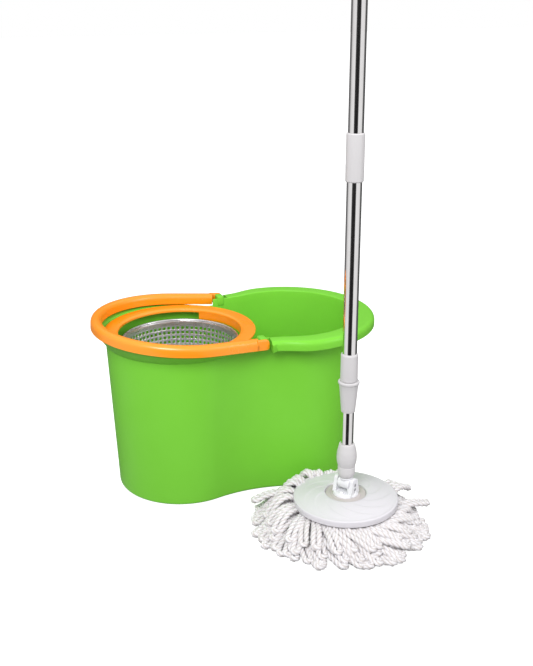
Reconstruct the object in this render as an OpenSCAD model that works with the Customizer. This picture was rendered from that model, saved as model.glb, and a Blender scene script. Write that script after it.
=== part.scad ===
// Spin mop set: a two-lobed bucket with a hanging spin basket, and a mop
// whose handle spins its lower half when it is pressed down.
// Origin: middle of the bucket's flat base, between the two lobes. +Z is up,
// +X runs from the basket lobe to the wash lobe, the mop stands on the -Y side.

/* [Bucket] */
// Distance between the upright axes of the two lobes
lobe_gap = 182; // [175:1:220]
// Outer radius of each lobe at the floor
base_r = 106; // [88:1:128]
// Height of the wash lobe's rim
rim_h = 268; // [222:1:330]
// How far the wall leans outwards, in degrees
draft = 2.85; // [1:0.05:4]
// How much narrower the waist is than a lobe, on each side
waist_depth = 13; // [8:1:20]
// Wall thickness
wall = 2.6; // [2:0.1:4]
// Floor thickness
floor_t = 3; // [2:0.5:5]
// Width of the lip that hangs over the wash lobe's wall
lip_w = 27.5; // [20:0.5:32]
// Depth of the lip
lip_h = 16; // [14:0.5:24]
// How much lower the basket lobe's rim is than the wash lobe's
rim_step = 11; // [9:0.5:16]

/* [Wringer collar] */
// Radial width of the collar's flat ring
collar_w = 23.5; // [18:0.5:28]
// Thickness of the collar's ring
collar_t = 3.4; // [2.5:0.1:5]
// Depth of the splash skirt under the ring
skirt_h = 14; // [10:1:20]
// Half of the arc that the skirt covers, in degrees
skirt_half = 56; // [40:1:65]

/* [Spin basket] */
// Depth of the basket, rim to floor
basket_depth = 80; // [66:1:96]
// How much narrower the basket is at its floor
basket_taper = 9; // [4:1:20]
// Sheet thickness of the basket
sheet_t = 0.8; // [0.6:0.1:1.2]
// Radial gap between the basket's rim and the collar
basket_gap = 3; // [2:0.5:6]
// Radius of the steel spindle
spindle_r = 5; // [4:0.5:6]
// Diameter of the basket's three fixing screws
screw_d = 4; // [3:0.5:5]

/* [Bail handle] */
// Width of the bail's channel
bail_w = 17; // [14:0.5:20]
// Height of the bail's channel
bail_h = 17; // [14:0.5:20]
// Wall thickness of the bail's channel
bail_t = 2.4; // [1.8:0.1:3]
// Gap between the basket lobe's wall and the bail
bail_gap = 5.2; // [4.5:0.1:8]
// Inward lean of the bail's straight arms, in degrees
arm_lean = 8.5; // [6:0.5:10]
// Pivot's distance from the middle of the bucket
pivot_x = 10; // [6:1:14]
// Radius of the pivot studs
stud_r = 3.5; // [3:0.5:4]
// Rest angle of the bail above level, in degrees
bail_tilt = 3.6; // [0:0.1:5]

/* [Mop head] */
// Radius of the spread yarn
yarn_r = 126; // [105:1:150]
// Height of the yarn at the plate's edge
yarn_h = 34; // [28:1:42]
// Radius of the mop plate
plate_r = 80; // [70:1:96]
// Height of the plate's rim face
plate_rim = 8; // [6:0.5:10]
// Rise of the plate from rim to middle
plate_rise = 8; // [5:0.5:12]
// Radius of the disc in the middle of the plate
disc_r = 31; // [28:0.5:36]
// Gap left between the yarn and the bucket
mop_gap = 5; // [3:1:40]
// Mop's offset along X from the wash lobe's axis
mop_offset = 12; // [-40:1:60]
// Direction of the tilt pin in plan, in degrees
pin_yaw = -58; // [-60:1:-50]

/* [Handle] */
// Outer diameter of the lower tube
inner_d = 18.4; // [16:0.1:20]
// Outer diameter of the upper tubes
outer_d = 21.6; // [20.4:0.1:24]
// Wall thickness of the steel tubes
tube_t = 0.8; // [0.6:0.1:1]
// Length of the lower tube that shows between its socket and the lock sleeve
shown_l = 53; // [46:1:66]
// Length of the lower tube
inner_l = 355; // [290:1:430]
// Length of the middle tube
middle_l = 340; // [290:1:400]
// Length of the top tube
top_l = 490; // [400:1:600]
// Length of the lock sleeve
lock_l = 49; // [42:1:60]
// Length of the lock collar
lock_collar_l = 43; // [36:1:52]
// Length of the sleeve that joins the middle and top tubes
joint_l = 67; // [56:1:80]
// Height that the drive strip rises for each turn
strip_lead = 100; // [80:1:140]
// Width of the drive strip
strip_w = 11; // [9:0.5:12]
// Thickness of the drive strip
strip_t = 2; // [1.5:0.1:2.5]
// Length of the hand grip
grip_l = 120; // [100:1:150]
// Radius of the hanging hole
hang_r = 6; // [5:0.5:8]

/* [Hidden] */
$fn = 96;
eps = 0.01;
// clearance of a turning fit, and of parts that only pass each other
run_fit = 0.06;
pass_gap = 0.4;

green = "#74c93b";
orange = "#ff9a0c";
steel = "#c9ccd0";
greyish = "#d6d4d6";
white = "#f0f2f6";

left_x = -lobe_gap / 2;
right_x = lobe_gap / 2;
low_rim = rim_h - rim_step;
function lobe_r(z) = base_r + z * tan(draft);
// the waist is scooped by a cone on each side, tangent to both lobes
waist_half = base_r - waist_depth;
scoop_r = (pow(right_x, 2) + pow(waist_half, 2) - pow(base_r, 2)) / (2 * (base_r - waist_half));
scoop_reach = base_r + scoop_r;
scoop_y = sqrt(pow(scoop_reach, 2) - pow(right_x, 2));
foot_round = 5;
function waist_y(z, grow = 0) = scoop_y - scoop_reach + lobe_r(z) + grow;

lip_r = lobe_r(rim_h) + lip_w;
collar_out = lobe_r(low_rim) + 3.2;
collar_in = collar_out - collar_w;
collar_lip_h = 8;
clip_arc = 98;
skirt_t = 2.4;

// the bail's channel, about the basket lobe's axis and then straight
bail_in = lobe_r(low_rim) + bail_gap;
bail_out = bail_in + bail_w;
pivot_z = rim_h - 4;
pivot_reach = pivot_x - left_x;
arm_end = 7;
arm_start = bail_out * sin(arm_lean);
function arm_y(r, x) = (r - x * sin(arm_lean)) / cos(arm_lean);
skin_t = 5;
boss_half = 5.5;
boss_drop = 8;
boss_face = arm_y(bail_out - skin_t, pivot_reach + boss_half) - pass_gap;
cheek_cut = 10.2;
stud_end = waist_y(pivot_z) + 1;
lip_start = pivot_x + arm_end + 4;
step_x = pivot_x - 14;
rest_tab_z = pivot_z - bail_h / 2 + (pivot_reach + bail_in) * sin(bail_tilt) - pass_gap;

basket_r = collar_in - basket_gap;
basket_rim_z = low_rim - 12;
basket_floor = basket_rim_z - basket_depth;
roll_r = 2;
pedestal_top = basket_floor - 38;
pedestal_r = 17;
pedestal_foot_r = 36;
bush_r = spindle_r + 3;
bush_low = pedestal_top + 22;
bush_high = basket_floor + 24;
hub_r = bush_r + 5.5;
hub_flange_r = 46;
hub_flange_t = 5;
hub_top = bush_high + 6;
screw_ring = 36;

mop_x = right_x + mop_offset;
yarn_dx = -6;
yarn_dy = -8;
mop_y = -(lobe_r(yarn_h) + mop_gap + yarn_r + yarn_dy);
yarn_in = 31;
plate_low = yarn_h + pass_gap;
plate_top = plate_low + plate_rim + plate_rise;
plate_t = 3;
disc_seat = plate_top - 6;
disc_top = plate_top - 1.6;
block_top = disc_top + 5.5;
pin_z = block_top + 12;
pin_r = 2.5;
ear_in = 11;
ear_t = 6;
ear_r = 10.5;
knuckle_r = 9.5;

tube_r = inner_d / 2;
bore_r = tube_r - tube_t;
sleeve_r = outer_d / 2;
sleeve_bore = sleeve_r - tube_t;
socket_low = pin_z + 10.5;
socket_mid = socket_low + 18.5;
socket_top = socket_low + 55;
socket_r = 13.2;
socket_bulge = 15.3;
socket_seat = socket_top - 31;
inner_top = socket_seat + inner_l;
lock_low = socket_top + shown_l;
lock_top = lock_low + lock_l;
middle_low = lock_low + 21;
middle_top = middle_low + middle_l;
top_low = middle_top + 5;
top_high = top_low + top_l;
joint_low = middle_top - 16;
lock_flange = 15.8;
lock_tip = 10.6;
lock_collar_r = 12.9;
joint_r = 13;
nut_head = 4;
nut_plug = 14;
nut_mid = inner_top + nut_head / 2;
strip_low = socket_top + 94;
strip_high = middle_top - 15;
strip_gap = 0.35;
strip_root = 10;
degrees_per_mm = 360 / strip_lead;
grip_r = 13.6;
cap_h = 40;
cap_t = 11;

module at_lobe(x) {
    translate([x, 0, 0]) children();
}

module at_mop() {
    translate([mop_x, mop_y, 0]) children();
}

module ring(z, h, outer, inner) {
    translate([0, 0, z])
        difference() {
            cylinder(h = h, r = outer);
            translate([0, 0, -1]) cylinder(h = h + 2, r = inner);
        }
}

// solid of the bucket's plan between two heights, grown or shrunk at each end
module figure_eight(low, high, grow_low = 0, grow_high = 0) {
    for (x = [left_x, right_x])
        translate([x, 0, low])
            cylinder(h = high - low, r1 = lobe_r(low) + grow_low, r2 = lobe_r(high) + grow_high);
    difference() {
        translate([0, 0, low])
            linear_extrude(high - low)
                polygon([[left_x - 3, 0], [0, scoop_y], [right_x + 3, 0], [0, -scoop_y]]);
        for (y = [-scoop_y, scoop_y])
            translate([0, y, low])
                cylinder(h = high - low, r1 = scoop_reach - lobe_r(low) - grow_low - 0.05,
                         r2 = scoop_reach - lobe_r(high) - grow_high - 0.05);
    }
}

// half ring of the lip, crowned on top and open underneath
module lip_profile(shrink = 0) {
    inner = lobe_r(rim_h) - wall + 0.3 + shrink;
    outer = lip_r - shrink;
    high = rim_h - shrink;
    low = rim_h - lip_h;
    bend = 13 - shrink;
    polygon(concat(
        [[inner, low - (shrink > 0 ? 1 : 0)], [inner, high]],
        [for (a = [90 : -15 : 0]) [outer - bend + bend * cos(a), high - bend + bend * sin(a)]],
        [[outer, low - (shrink > 0 ? 1 : 0)]]
    ));
}

module lip_solid(shrink = 0) {
    at_lobe(right_x) rotate_extrude() lip_profile(shrink);
}

module bucket_shell() color(green) {
    difference() {
        union() {
            figure_eight(0, foot_round, -3, 0);
            figure_eight(foot_round, rim_h);
            intersection() {
                difference() {
                    lip_solid();
                    difference() {
                        lip_solid(wall);
                        translate([lip_start - 1, -lip_r, 0]) cube([wall + 1, 2 * lip_r, rim_h + 1]);
                    }
                }
                translate([lip_start, -lip_r - 1, 0]) cube([2 * lip_r, 2 * lip_r + 2, rim_h + 1]);
            }
            for (s = [-1, 1])
                translate([pivot_x - boss_half, s > 0 ? waist_y(pivot_z) - 4 : -boss_face, pivot_z - boss_drop])
                    cube([2 * boss_half, boss_face - waist_y(pivot_z) + 4, 2 * boss_drop]);
        }
        figure_eight(floor_t, floor_t + 4, -wall - 4, -wall);
        figure_eight(floor_t + 4, rim_h + 1, -wall, -wall);
        // the basket lobe's lower rim
        translate([left_x - bail_out, -bail_out, low_rim])
            cube([step_x - left_x + bail_out, 2 * bail_out, rim_step + 2]);
        // sockets of the bail's studs
        for (s = [-1, 1])
            translate([pivot_x, s * (waist_y(pivot_z) - 8), pivot_z])
                rotate([s * -90, 0, 0]) cylinder(h = 60, r = stud_r + run_fit);
        // hollow under the pedestal
        at_lobe(left_x) translate([0, 0, -1]) cylinder(h = floor_t + 2, r = pedestal_foot_r - wall - 2);
    }
    at_lobe(left_x)
        difference() {
            union() {
                difference() {
                    cylinder(h = pedestal_top, r1 = pedestal_foot_r, r2 = pedestal_r);
                    translate([0, 0, -eps])
                        cylinder(h = pedestal_top - 4, r1 = pedestal_foot_r - wall, r2 = pedestal_r - wall);
                }
                translate([0, 0, pedestal_top - 28]) cylinder(h = 26, r = spindle_r + 5);
            }
            translate([0, 0, pedestal_top - 24]) cylinder(h = 30, r = spindle_r);
        }
}

module wringer_collar() color(orange)
    at_lobe(left_x) {
        translate([0, 0, low_rim])
            rotate_extrude()
                polygon([
                    [collar_in, 0], [collar_out, 0], [collar_out, collar_t - 1.2],
                    [collar_out - 2, collar_t - 0.2], [collar_out - 6, collar_t],
                    [collar_in + 4, collar_t], [collar_in + 1, collar_t - 0.5], [collar_in, collar_t - 1.4]
                ]);
        // outer lip that grips the basket lobe's rim
        translate([0, 0, low_rim - collar_lip_h])
            rotate([0, 0, 180 - clip_arc])
                rotate_extrude(angle = 2 * clip_arc)
                    translate([lobe_r(low_rim) + pass_gap, 0])
                        square([collar_out - lobe_r(low_rim) - pass_gap - 0.3, collar_lip_h + 0.5]);
        // splash skirt over the waist
        translate([0, 0, low_rim - skirt_h])
            rotate([0, 0, -skirt_half])
                rotate_extrude(angle = 2 * skirt_half)
                    translate([collar_in + 0.3, 0]) square([skirt_t, skirt_h + 0.5]);
        // tab that the bail rests on
        translate([-bail_out + 5, -11, low_rim - collar_lip_h])
            cube([bail_out - collar_out - 3.5, 22, rest_tab_z - low_rim + collar_lip_h]);
    }

module spindle() color(steel)
    at_lobe(left_x) {
        translate([0, 0, pedestal_top - 24]) cylinder(h = bush_high + 3 - pedestal_top + 24, r = spindle_r);
        translate([0, 0, bush_low - 4]) cylinder(h = 4 - pass_gap / 2, r = spindle_r + 2.5);
    }

module spindle_clip() color(steel)
    at_lobe(left_x) ring(bush_high + 0.2, 1.2, spindle_r + 2.2, spindle_r);

module basket_bowl() color(steel)
    at_lobe(left_x) {
        low_r = basket_r - 3 - basket_taper;
        corner = 9;
        difference() {
            translate([0, 0, basket_floor])
                rotate_extrude()
                    polygon(concat(
                        [[hub_r + 0.2, 0], [low_r - corner, 0]],
                        [for (a = [-75 : 15 : 0]) [low_r - corner + corner * cos(a), corner + corner * sin(a)]],
                        [[basket_r - 3, basket_depth - 2], [basket_r - 3 - sheet_t, basket_depth - 2]],
                        [for (a = [0 : -15 : -75])
                            [low_r - corner + (corner - sheet_t) * cos(a), corner + (corner - sheet_t) * sin(a)]],
                        [[low_r - corner, sheet_t], [hub_r + 0.2, sheet_t]]
                    ));
            for (a = [0 : 120 : 240])
                rotate([0, 0, a]) translate([screw_ring, 0, basket_floor - 1]) cylinder(h = 3, r = screw_d / 2 + 0.2);
        }
        translate([0, 0, basket_rim_z - roll_r])
            rotate_extrude() translate([basket_r - roll_r, 0]) circle(r = roll_r);
    }

module basket_hub() color(greyish)
    at_lobe(left_x)
        difference() {
            union() {
                translate([0, 0, basket_floor - hub_flange_t]) cylinder(h = hub_flange_t, r = hub_flange_r);
                translate([0, 0, bush_low]) cylinder(h = hub_top - bush_low, r = hub_r);
                for (a = [0 : 120 : 240])
                    rotate([0, 0, a]) translate([screw_ring, 0, basket_floor - 12]) cylinder(h = 8, r = screw_d / 2 + 2.5);
            }
            translate([0, 0, bush_low - 1]) cylinder(h = bush_high - bush_low + 1, r = bush_r);
            translate([0, 0, bush_high - eps]) cylinder(h = 30, r = bush_r - 0.4);
            for (a = [0 : 120 : 240])
                rotate([0, 0, a]) translate([screw_ring, 0, basket_floor - 10]) cylinder(h = 20, r = screw_d / 2);
        }

module spindle_bush() color("#c8a24a")
    at_lobe(left_x) ring(bush_low, bush_high - bush_low, bush_r, spindle_r + run_fit);

module hub_cap() color(greyish)
    at_lobe(left_x)
        translate([0, 0, hub_top])
            difference() {
                rotate_extrude()
                    polygon(concat(
                        [[0, 0], [hub_r, 0], [hub_r, 3]],
                        [for (a = [15 : 15 : 90]) [hub_r * cos(a), 3 + 5 * sin(a)]]
                    ));
                translate([0, 0, -1]) cylinder(h = 4, r = bush_r);
            }

module hub_screw(n) color(steel)
    at_lobe(left_x)
        rotate([0, 0, 120 * (n - 1)])
            translate([screw_ring, 0, 0])
                difference() {
                    union() {
                        translate([0, 0, basket_floor - 9]) cylinder(h = 9 + sheet_t, r = screw_d / 2);
                        translate([0, 0, basket_floor + sheet_t]) cylinder(h = 2.2, r1 = screw_d, r2 = screw_d * 0.7);
                    }
                    for (a = [0, 90])
                        rotate([0, 0, a])
                            translate([-screw_d / 2, -0.4, basket_floor + sheet_t + 1]) cube([screw_d, 0.8, 3]);
                }

// the bail's inverted channel: x across, y up, its inner side at x = 0
module bail_section(trim = 0) {
    half = bail_w / 2;
    shoulder = bail_h - 9;
    polygon(concat(
        [[0, 0]],
        [for (a = [180 : -15 : 0]) [half + half * cos(a), shoulder + 9 * sin(a)]],
        [[bail_w, 0], [bail_w - bail_t, 0]],
        [for (a = [0 : 15 : 180]) [half + (half - bail_t) * cos(a), shoulder + (9 - bail_t) * sin(a)]],
        [[bail_t, 0]]
    ));
}

module bail_skin_section() {
    half = bail_w / 2;
    intersection() {
        translate([bail_w - skin_t, 0]) square([skin_t, bail_h]);
        polygon(concat(
            [[0, 0]],
            [for (a = [180 : -15 : 0]) [half + half * cos(a), bail_h - 9 + 9 * sin(a)]],
            [[bail_w, 0]]
        ));
    }
}

// one straight arm, from where the arc ends to past the pivot
module bail_arm() {
    length = (pivot_reach + arm_end - arm_start) / cos(arm_lean);
    cheek = (pivot_reach - cheek_cut - arm_start) / cos(arm_lean);
    translate([arm_start, bail_out * cos(arm_lean), -bail_h / 2])
        rotate([0, 0, -arm_lean])
            rotate([90, 0, 90]) {
                translate([-bail_w, 0, -eps]) linear_extrude(cheek + eps) bail_section();
                intersection() {
                    translate([-bail_w, 0, cheek - 1]) linear_extrude(length - cheek + 1) bail_skin_section();
                    end_round(length);
                }
            }
}

// rounds the two corners of an arm's free end
module end_round(length) {
    round = 5;
    translate([-bail_w - 1, 0, 0])
        rotate([90, 0, 90])
            linear_extrude(bail_w + 2) {
                square([bail_h, length - round]);
                translate([round, 0]) square([bail_h - 2 * round, length]);
                translate([round, length - round]) circle(r = round);
                translate([bail_h - round, length - round]) circle(r = round);
            }
}

module bail_handle() color(orange)
    translate([pivot_x, 0, pivot_z])
        rotate([0, bail_tilt, 0])
            translate([-pivot_reach, 0, 0]) {
                translate([0, 0, -bail_h / 2])
                    rotate([0, 0, 90 - arm_lean])
                        rotate_extrude(angle = 180 + 2 * arm_lean)
                            translate([bail_in, 0]) bail_section();
                for (s = [0, 1])
                    mirror([0, s, 0]) {
                        bail_arm();
                        translate([pivot_reach, stud_end, 0])
                            rotate([-90, 0, 0])
                                cylinder(h = arm_y(bail_out - 1.5, pivot_reach) - stud_end, r = stud_r);
                    }
            }

module yarn_ring() color("#f3f1ef")
    at_mop()
        difference() {
            translate([yarn_dx, yarn_dy, 0])
                rotate_extrude()
                    polygon([
                        [0, 0], [yarn_r - 6, 0], [yarn_r, 5], [yarn_r - 2, 13], [yarn_r - 14, 21],
                        [plate_r + 14, yarn_h - 3], [plate_r - 4, yarn_h], [0, yarn_h]
                    ]);
            translate([0, 0, -1]) cylinder(h = yarn_h + 2, r = yarn_in);
            translate([0, 0, yarn_h - 6]) cylinder(h = 8, r = plate_r - 5);
        }

module refill_ring() color(white)
    at_mop() ring(yarn_h - 5.6, 5.6 + pass_gap, plate_r - 6, yarn_in + 1);

module head_plate() color(white)
    at_mop() {
        rotate_extrude()
            polygon(concat(
                [[10, disc_seat], [disc_r + 0.4, disc_seat], [disc_r + 0.4, plate_top], [disc_r + 2, plate_top]],
                [for (a = [15 : 15 : 60])
                    [disc_r + 2 + (plate_r - 4 - disc_r) * a / 90, plate_top - plate_rise * (1 - cos(a))]],
                [[plate_r - 2, plate_low + plate_rim], [plate_r, plate_low + plate_rim - 3],
                 [plate_r, plate_low], [plate_r - plate_t, plate_low]],
                [[plate_r - plate_t, plate_low + plate_rim - 4]],
                [for (a = [60 : -15 : 15])
                    [disc_r + 2 + (plate_r - 6 - disc_r) * a / 90, plate_top - plate_t - plate_rise * (1 - cos(a))]],
                [[disc_r - 4, disc_seat - plate_t], [10, disc_seat - plate_t]]
            ));
        // socket that drops over the basket's hub
        ring(14, disc_seat - 15, yarn_in - pass_gap, yarn_in - 3);
    }

module hub_disc() color("#cfc9c7")
    at_mop()
        difference() {
            union() {
                translate([0, 0, disc_seat]) cylinder(h = disc_top - disc_seat, r = disc_r);
                translate([0, 0, disc_seat - plate_t]) cylinder(h = plate_t + 1, r = 9.9);
            }
            translate([0, 0, disc_seat - 10]) cylinder(h = 30, r = screw_d / 2);
        }

// ear of the hinge block, about the pin's axis
module hinge_ear() {
    translate([ear_in, 0, 0]) {
        translate([0, 0, pin_z]) rotate([0, 90, 0]) cylinder(h = ear_t, r = ear_r);
        translate([0, -ear_r, block_top - 1]) cube([ear_t, 2 * ear_r, pin_z - block_top + 1]);
    }
}

module hinge_block() color(white)
    at_mop()
        rotate([0, 0, pin_yaw])
            difference() {
                union() {
                    translate([0, 0, disc_top]) cylinder(h = block_top - disc_top, r1 = 20, r2 = 18.5);
                    for (s = [0, 1]) mirror([s, 0, 0]) hinge_ear();
                    // four splayed feet
                    for (a = [45 : 90 : 315])
                        rotate([0, 0, a]) translate([16, 0, disc_top]) cylinder(h = block_top - disc_top + 2, r1 = 5.5, r2 = 3.2);
                }
                translate([-40, 0, pin_z]) rotate([0, 90, 0]) cylinder(h = 80, r = pin_r);
                translate([0, 0, disc_top - 1]) cylinder(h = 5, r = screw_d / 2);
                // room for the knuckle's barrel
                translate([-ear_in, 0, pin_z]) rotate([0, 90, 0]) cylinder(h = 2 * ear_in, r = knuckle_r + 0.6);
            }

module hinge_pin() color(steel)
    at_mop()
        rotate([0, 0, pin_yaw])
            translate([-ear_in - ear_t, 0, pin_z])
                rotate([0, 90, 0]) {
                    cylinder(h = 2 * (ear_in + ear_t), r = pin_r);
                    translate([0, 0, -1.4]) cylinder(h = 1.4, r = pin_r + 1.5);
                }

module head_screw() color(steel)
    at_mop() {
        translate([0, 0, disc_seat - plate_t - 2]) cylinder(h = 2, r = 8);
        translate([0, 0, disc_seat - plate_t]) cylinder(h = disc_top + 3.5 - disc_seat + plate_t, r = screw_d / 2);
    }

module pole_knuckle() color(white)
    at_mop()
        rotate([0, 0, pin_yaw])
            difference() {
                union() {
                    translate([-ear_in + 0.5, 0, pin_z])
                        rotate([0, 90, 0]) cylinder(h = 2 * ear_in - 1, r = knuckle_r);
                    translate([0, 0, pin_z]) cylinder(h = socket_low - pin_z, r = 8.4);
                    translate([0, 0, socket_low - eps]) cylinder(h = socket_seat - 2 - socket_low, r = 7.6);
                }
                translate([-40, 0, pin_z]) rotate([0, 90, 0]) cylinder(h = 80, r = pin_r + run_fit);
            }

module lower_socket() color(greyish)
    at_mop()
        difference() {
            translate([0, 0, socket_low])
                rotate_extrude()
                    polygon(concat(
                        [[0, 0], [9, 0], [10.6, 1.6], [12.2, 4], [socket_r, 7.5], [socket_r, 18], [socket_r - 0.4, 18.5]],
                        [for (a = [-50 : 12.5 : 75])
                            [tube_r + 1.3 + (socket_bulge - tube_r - 1.3) * cos(a), 33 + (a < 0 ? 16 : 22.5) * sin(a)]],
                        [[tube_r + 1.2, 55], [0, 55]]
                    ));
            translate([0, 0, socket_seat]) cylinder(h = 60, r = tube_r);
            translate([0, 0, socket_low - 1]) cylinder(h = socket_seat - socket_low - 1, r = 7.6);
            translate([-30, 0, socket_mid + 16]) rotate([0, 90, 0]) cylinder(h = 60, r = 1.6);
        }

module socket_rivet() color(steel)
    at_mop()
        translate([-socket_bulge + 0.4, 0, socket_mid + 16])
            rotate([0, 90, 0]) cylinder(h = 2 * socket_bulge - 0.8, r = 1.6);

module inner_tube() color(steel)
    at_mop()
        difference() {
            ring(socket_seat, inner_l, tube_r, bore_r);
            translate([-30, 0, socket_mid + 16]) rotate([0, 90, 0]) cylinder(h = 60, r = 1.6);
        }

// bar of the drive strip's section between two heights, turning with height
module twisted_bar(low, high, w, t) {
    turn = degrees_per_mm * (high - low);
    translate([0, 0, low])
        rotate([0, 0, degrees_per_mm * (low - nut_mid)])
            linear_extrude(high - low, twist = -turn, slices = ceil(turn / 10), $fn = 8)
                square([w, t], center = true);
}

module drive_nut() color(greyish)
    at_mop()
        difference() {
            union() {
                translate([0, 0, inner_top - nut_plug]) cylinder(h = nut_plug, r = bore_r);
                translate([0, 0, inner_top]) cylinder(h = nut_head, r = sleeve_bore - 0.3);
            }
            translate([0, 0, inner_top - nut_plug - 1]) cylinder(h = nut_plug + 1, r = strip_w / 2 + 0.9);
            twisted_bar(inner_top - 1, inner_top + nut_head + 1, strip_w + 2 * strip_gap, strip_t + 2 * strip_gap);
        }

module guide_bush() color(white)
    at_mop() ring(inner_top - 30, 30 - 0.2, sleeve_bore - run_fit, tube_r + run_fit);

module outer_tube() color(steel)
    at_mop() ring(middle_low, middle_l, sleeve_r, sleeve_bore);

module lock_collar() color(greyish)
    at_mop()
        difference() {
            translate([0, 0, lock_top + pass_gap])
                rotate_extrude()
                    polygon([
                        [0, 0], [lock_collar_r - 0.6, 0], [lock_collar_r, 0.8],
                        [lock_collar_r - 0.3, lock_collar_l - 2.5], [lock_collar_r - 1.4, lock_collar_l - pass_gap],
                        [0, lock_collar_l - pass_gap]
                    ]);
            translate([0, 0, lock_top - 1]) cylinder(h = lock_collar_l + 3, r = sleeve_r);
        }

module drive_strip() color(steel)
    at_mop() {
        twisted_bar(strip_low, strip_high + strip_root, strip_w, strip_t);
    }

module strip_anchor() color(greyish)
    at_mop()
        difference() {
            translate([0, 0, strip_high]) cylinder(h = 40, r = sleeve_bore);
            twisted_bar(strip_high - 1, strip_high + strip_root + 1, strip_w + 0.1, strip_t + 0.1);
        }

module coupling_sleeve() color(greyish)
    at_mop()
        difference() {
            translate([0, 0, joint_low])
                rotate_extrude()
                    polygon([
                        [0, 0], [joint_r - 1, 0], [joint_r, 1.2], [joint_r, joint_l - 1.2],
                        [joint_r - 1, joint_l], [0, joint_l]
                    ]);
            translate([0, 0, joint_low - 1]) cylinder(h = joint_l + 2, r = sleeve_r);
        }

module top_tube() color(steel)
    at_mop() ring(top_low, top_l, sleeve_r, sleeve_bore);

module handle_grip() color(greyish)
    at_mop()
        difference() {
            translate([0, 0, top_high - grip_l])
                rotate_extrude()
                    polygon(concat(
                        [[0, 0], [grip_r - 1.2, 0]],
                        [for (n = [0 : 12]) [grip_r + 0.8 * sin(180 * n / 12), 2 + (grip_l - 4) * n / 12]],
                        [[grip_r - 1.2, grip_l], [0, grip_l]]
                    ));
            translate([0, 0, top_high - grip_l - 1]) cylinder(h = grip_l + 3, r = sleeve_r);
        }

module end_cap() color(greyish)
    at_mop()
        difference() {
            union() {
                translate([0, 0, top_high - 24]) cylinder(h = 24, r = sleeve_bore);
                translate([0, 0, top_high]) cylinder(h = 12, r = grip_r - 0.2);
                intersection() {
                    translate([0, 0, top_high + cap_h - grip_r])
                        rotate([90, 0, 0]) translate([0, 0, -cap_t / 2]) {
                            cylinder(h = cap_t, r = grip_r - 0.4);
                            translate([-grip_r + 0.4, -cap_h + grip_r + 6, 0]) cube([2 * grip_r - 0.8, cap_h - grip_r - 6, cap_t]);
                        }
                    translate([0, 0, top_high]) cylinder(h = cap_h, r = grip_r - 0.2);
                }
            }
            translate([0, cap_t, top_high + cap_h - grip_r])
                rotate([90, 0, 0]) cylinder(h = 2 * cap_t, r = hang_r);
        }

module lock_sleeve() color(greyish)
    at_mop()
        difference() {
            translate([0, 0, lock_low])
                rotate_extrude()
                    polygon([
                        [0, 0], [lock_tip - 1, 0], [lock_tip, 1.5], [lock_tip + 0.3, 5],
                        [lock_flange - 2.2, lock_l - 12], [lock_flange - 1.2, lock_l - 5],
                        [lock_flange, lock_l - 3.5], [lock_flange, lock_l - 1], [lock_flange - 1, lock_l], [0, lock_l]
                    ]);
            translate([0, 0, lock_low - 1]) cylinder(h = lock_l + 2, r = tube_r + 0.3);
            translate([0, 0, middle_low - 0.5]) cylinder(h = lock_l, r = sleeve_r + run_fit);
        }

bucket_shell();
wringer_collar();
spindle();
spindle_clip();
basket_bowl();
basket_hub();
spindle_bush();
hub_cap();
for (n = [1 : 3])
    hub_screw(n);
bail_handle();
yarn_ring();
refill_ring();
head_plate();
hub_disc();
hinge_block();
hinge_pin();
head_screw();
pole_knuckle();
lower_socket();
socket_rivet();
inner_tube();
drive_nut();
guide_bush();
outer_tube();
lock_collar();
drive_strip();
strip_anchor();
coupling_sleeve();
top_tube();
handle_grip();
end_cap();
lock_sleeve();
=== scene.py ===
import math
import random
import bmesh
import bpy
from mathutils import Matrix, Vector


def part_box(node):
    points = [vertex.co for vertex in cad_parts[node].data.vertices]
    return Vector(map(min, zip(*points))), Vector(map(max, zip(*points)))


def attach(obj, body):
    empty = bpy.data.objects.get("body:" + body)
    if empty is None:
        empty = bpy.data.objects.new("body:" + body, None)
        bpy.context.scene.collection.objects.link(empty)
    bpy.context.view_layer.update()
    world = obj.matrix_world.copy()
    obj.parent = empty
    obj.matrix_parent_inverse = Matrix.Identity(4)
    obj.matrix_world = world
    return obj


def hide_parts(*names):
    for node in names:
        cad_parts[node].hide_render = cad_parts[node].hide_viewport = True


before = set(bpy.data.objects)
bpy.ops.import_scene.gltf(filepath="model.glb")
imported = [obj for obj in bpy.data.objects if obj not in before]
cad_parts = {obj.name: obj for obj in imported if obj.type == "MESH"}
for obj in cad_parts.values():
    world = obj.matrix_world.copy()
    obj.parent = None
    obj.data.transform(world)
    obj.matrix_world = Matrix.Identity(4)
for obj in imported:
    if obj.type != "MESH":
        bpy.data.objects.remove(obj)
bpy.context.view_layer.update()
random.seed(27)


# shapes are drawn in millimetres about their own upright axis, and finishPiece puts them in place

def middleOf(node):
    low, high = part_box(node)
    return (low + high) / 2


basketAxis = Vector((middleOf("basket_bowl").x, middleOf("basket_bowl").y, 0))
mopAxis = Vector((middleOf("head_plate").x, middleOf("head_plate").y, 0))
bucketAxis = Vector((0, 0, 0))


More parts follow.
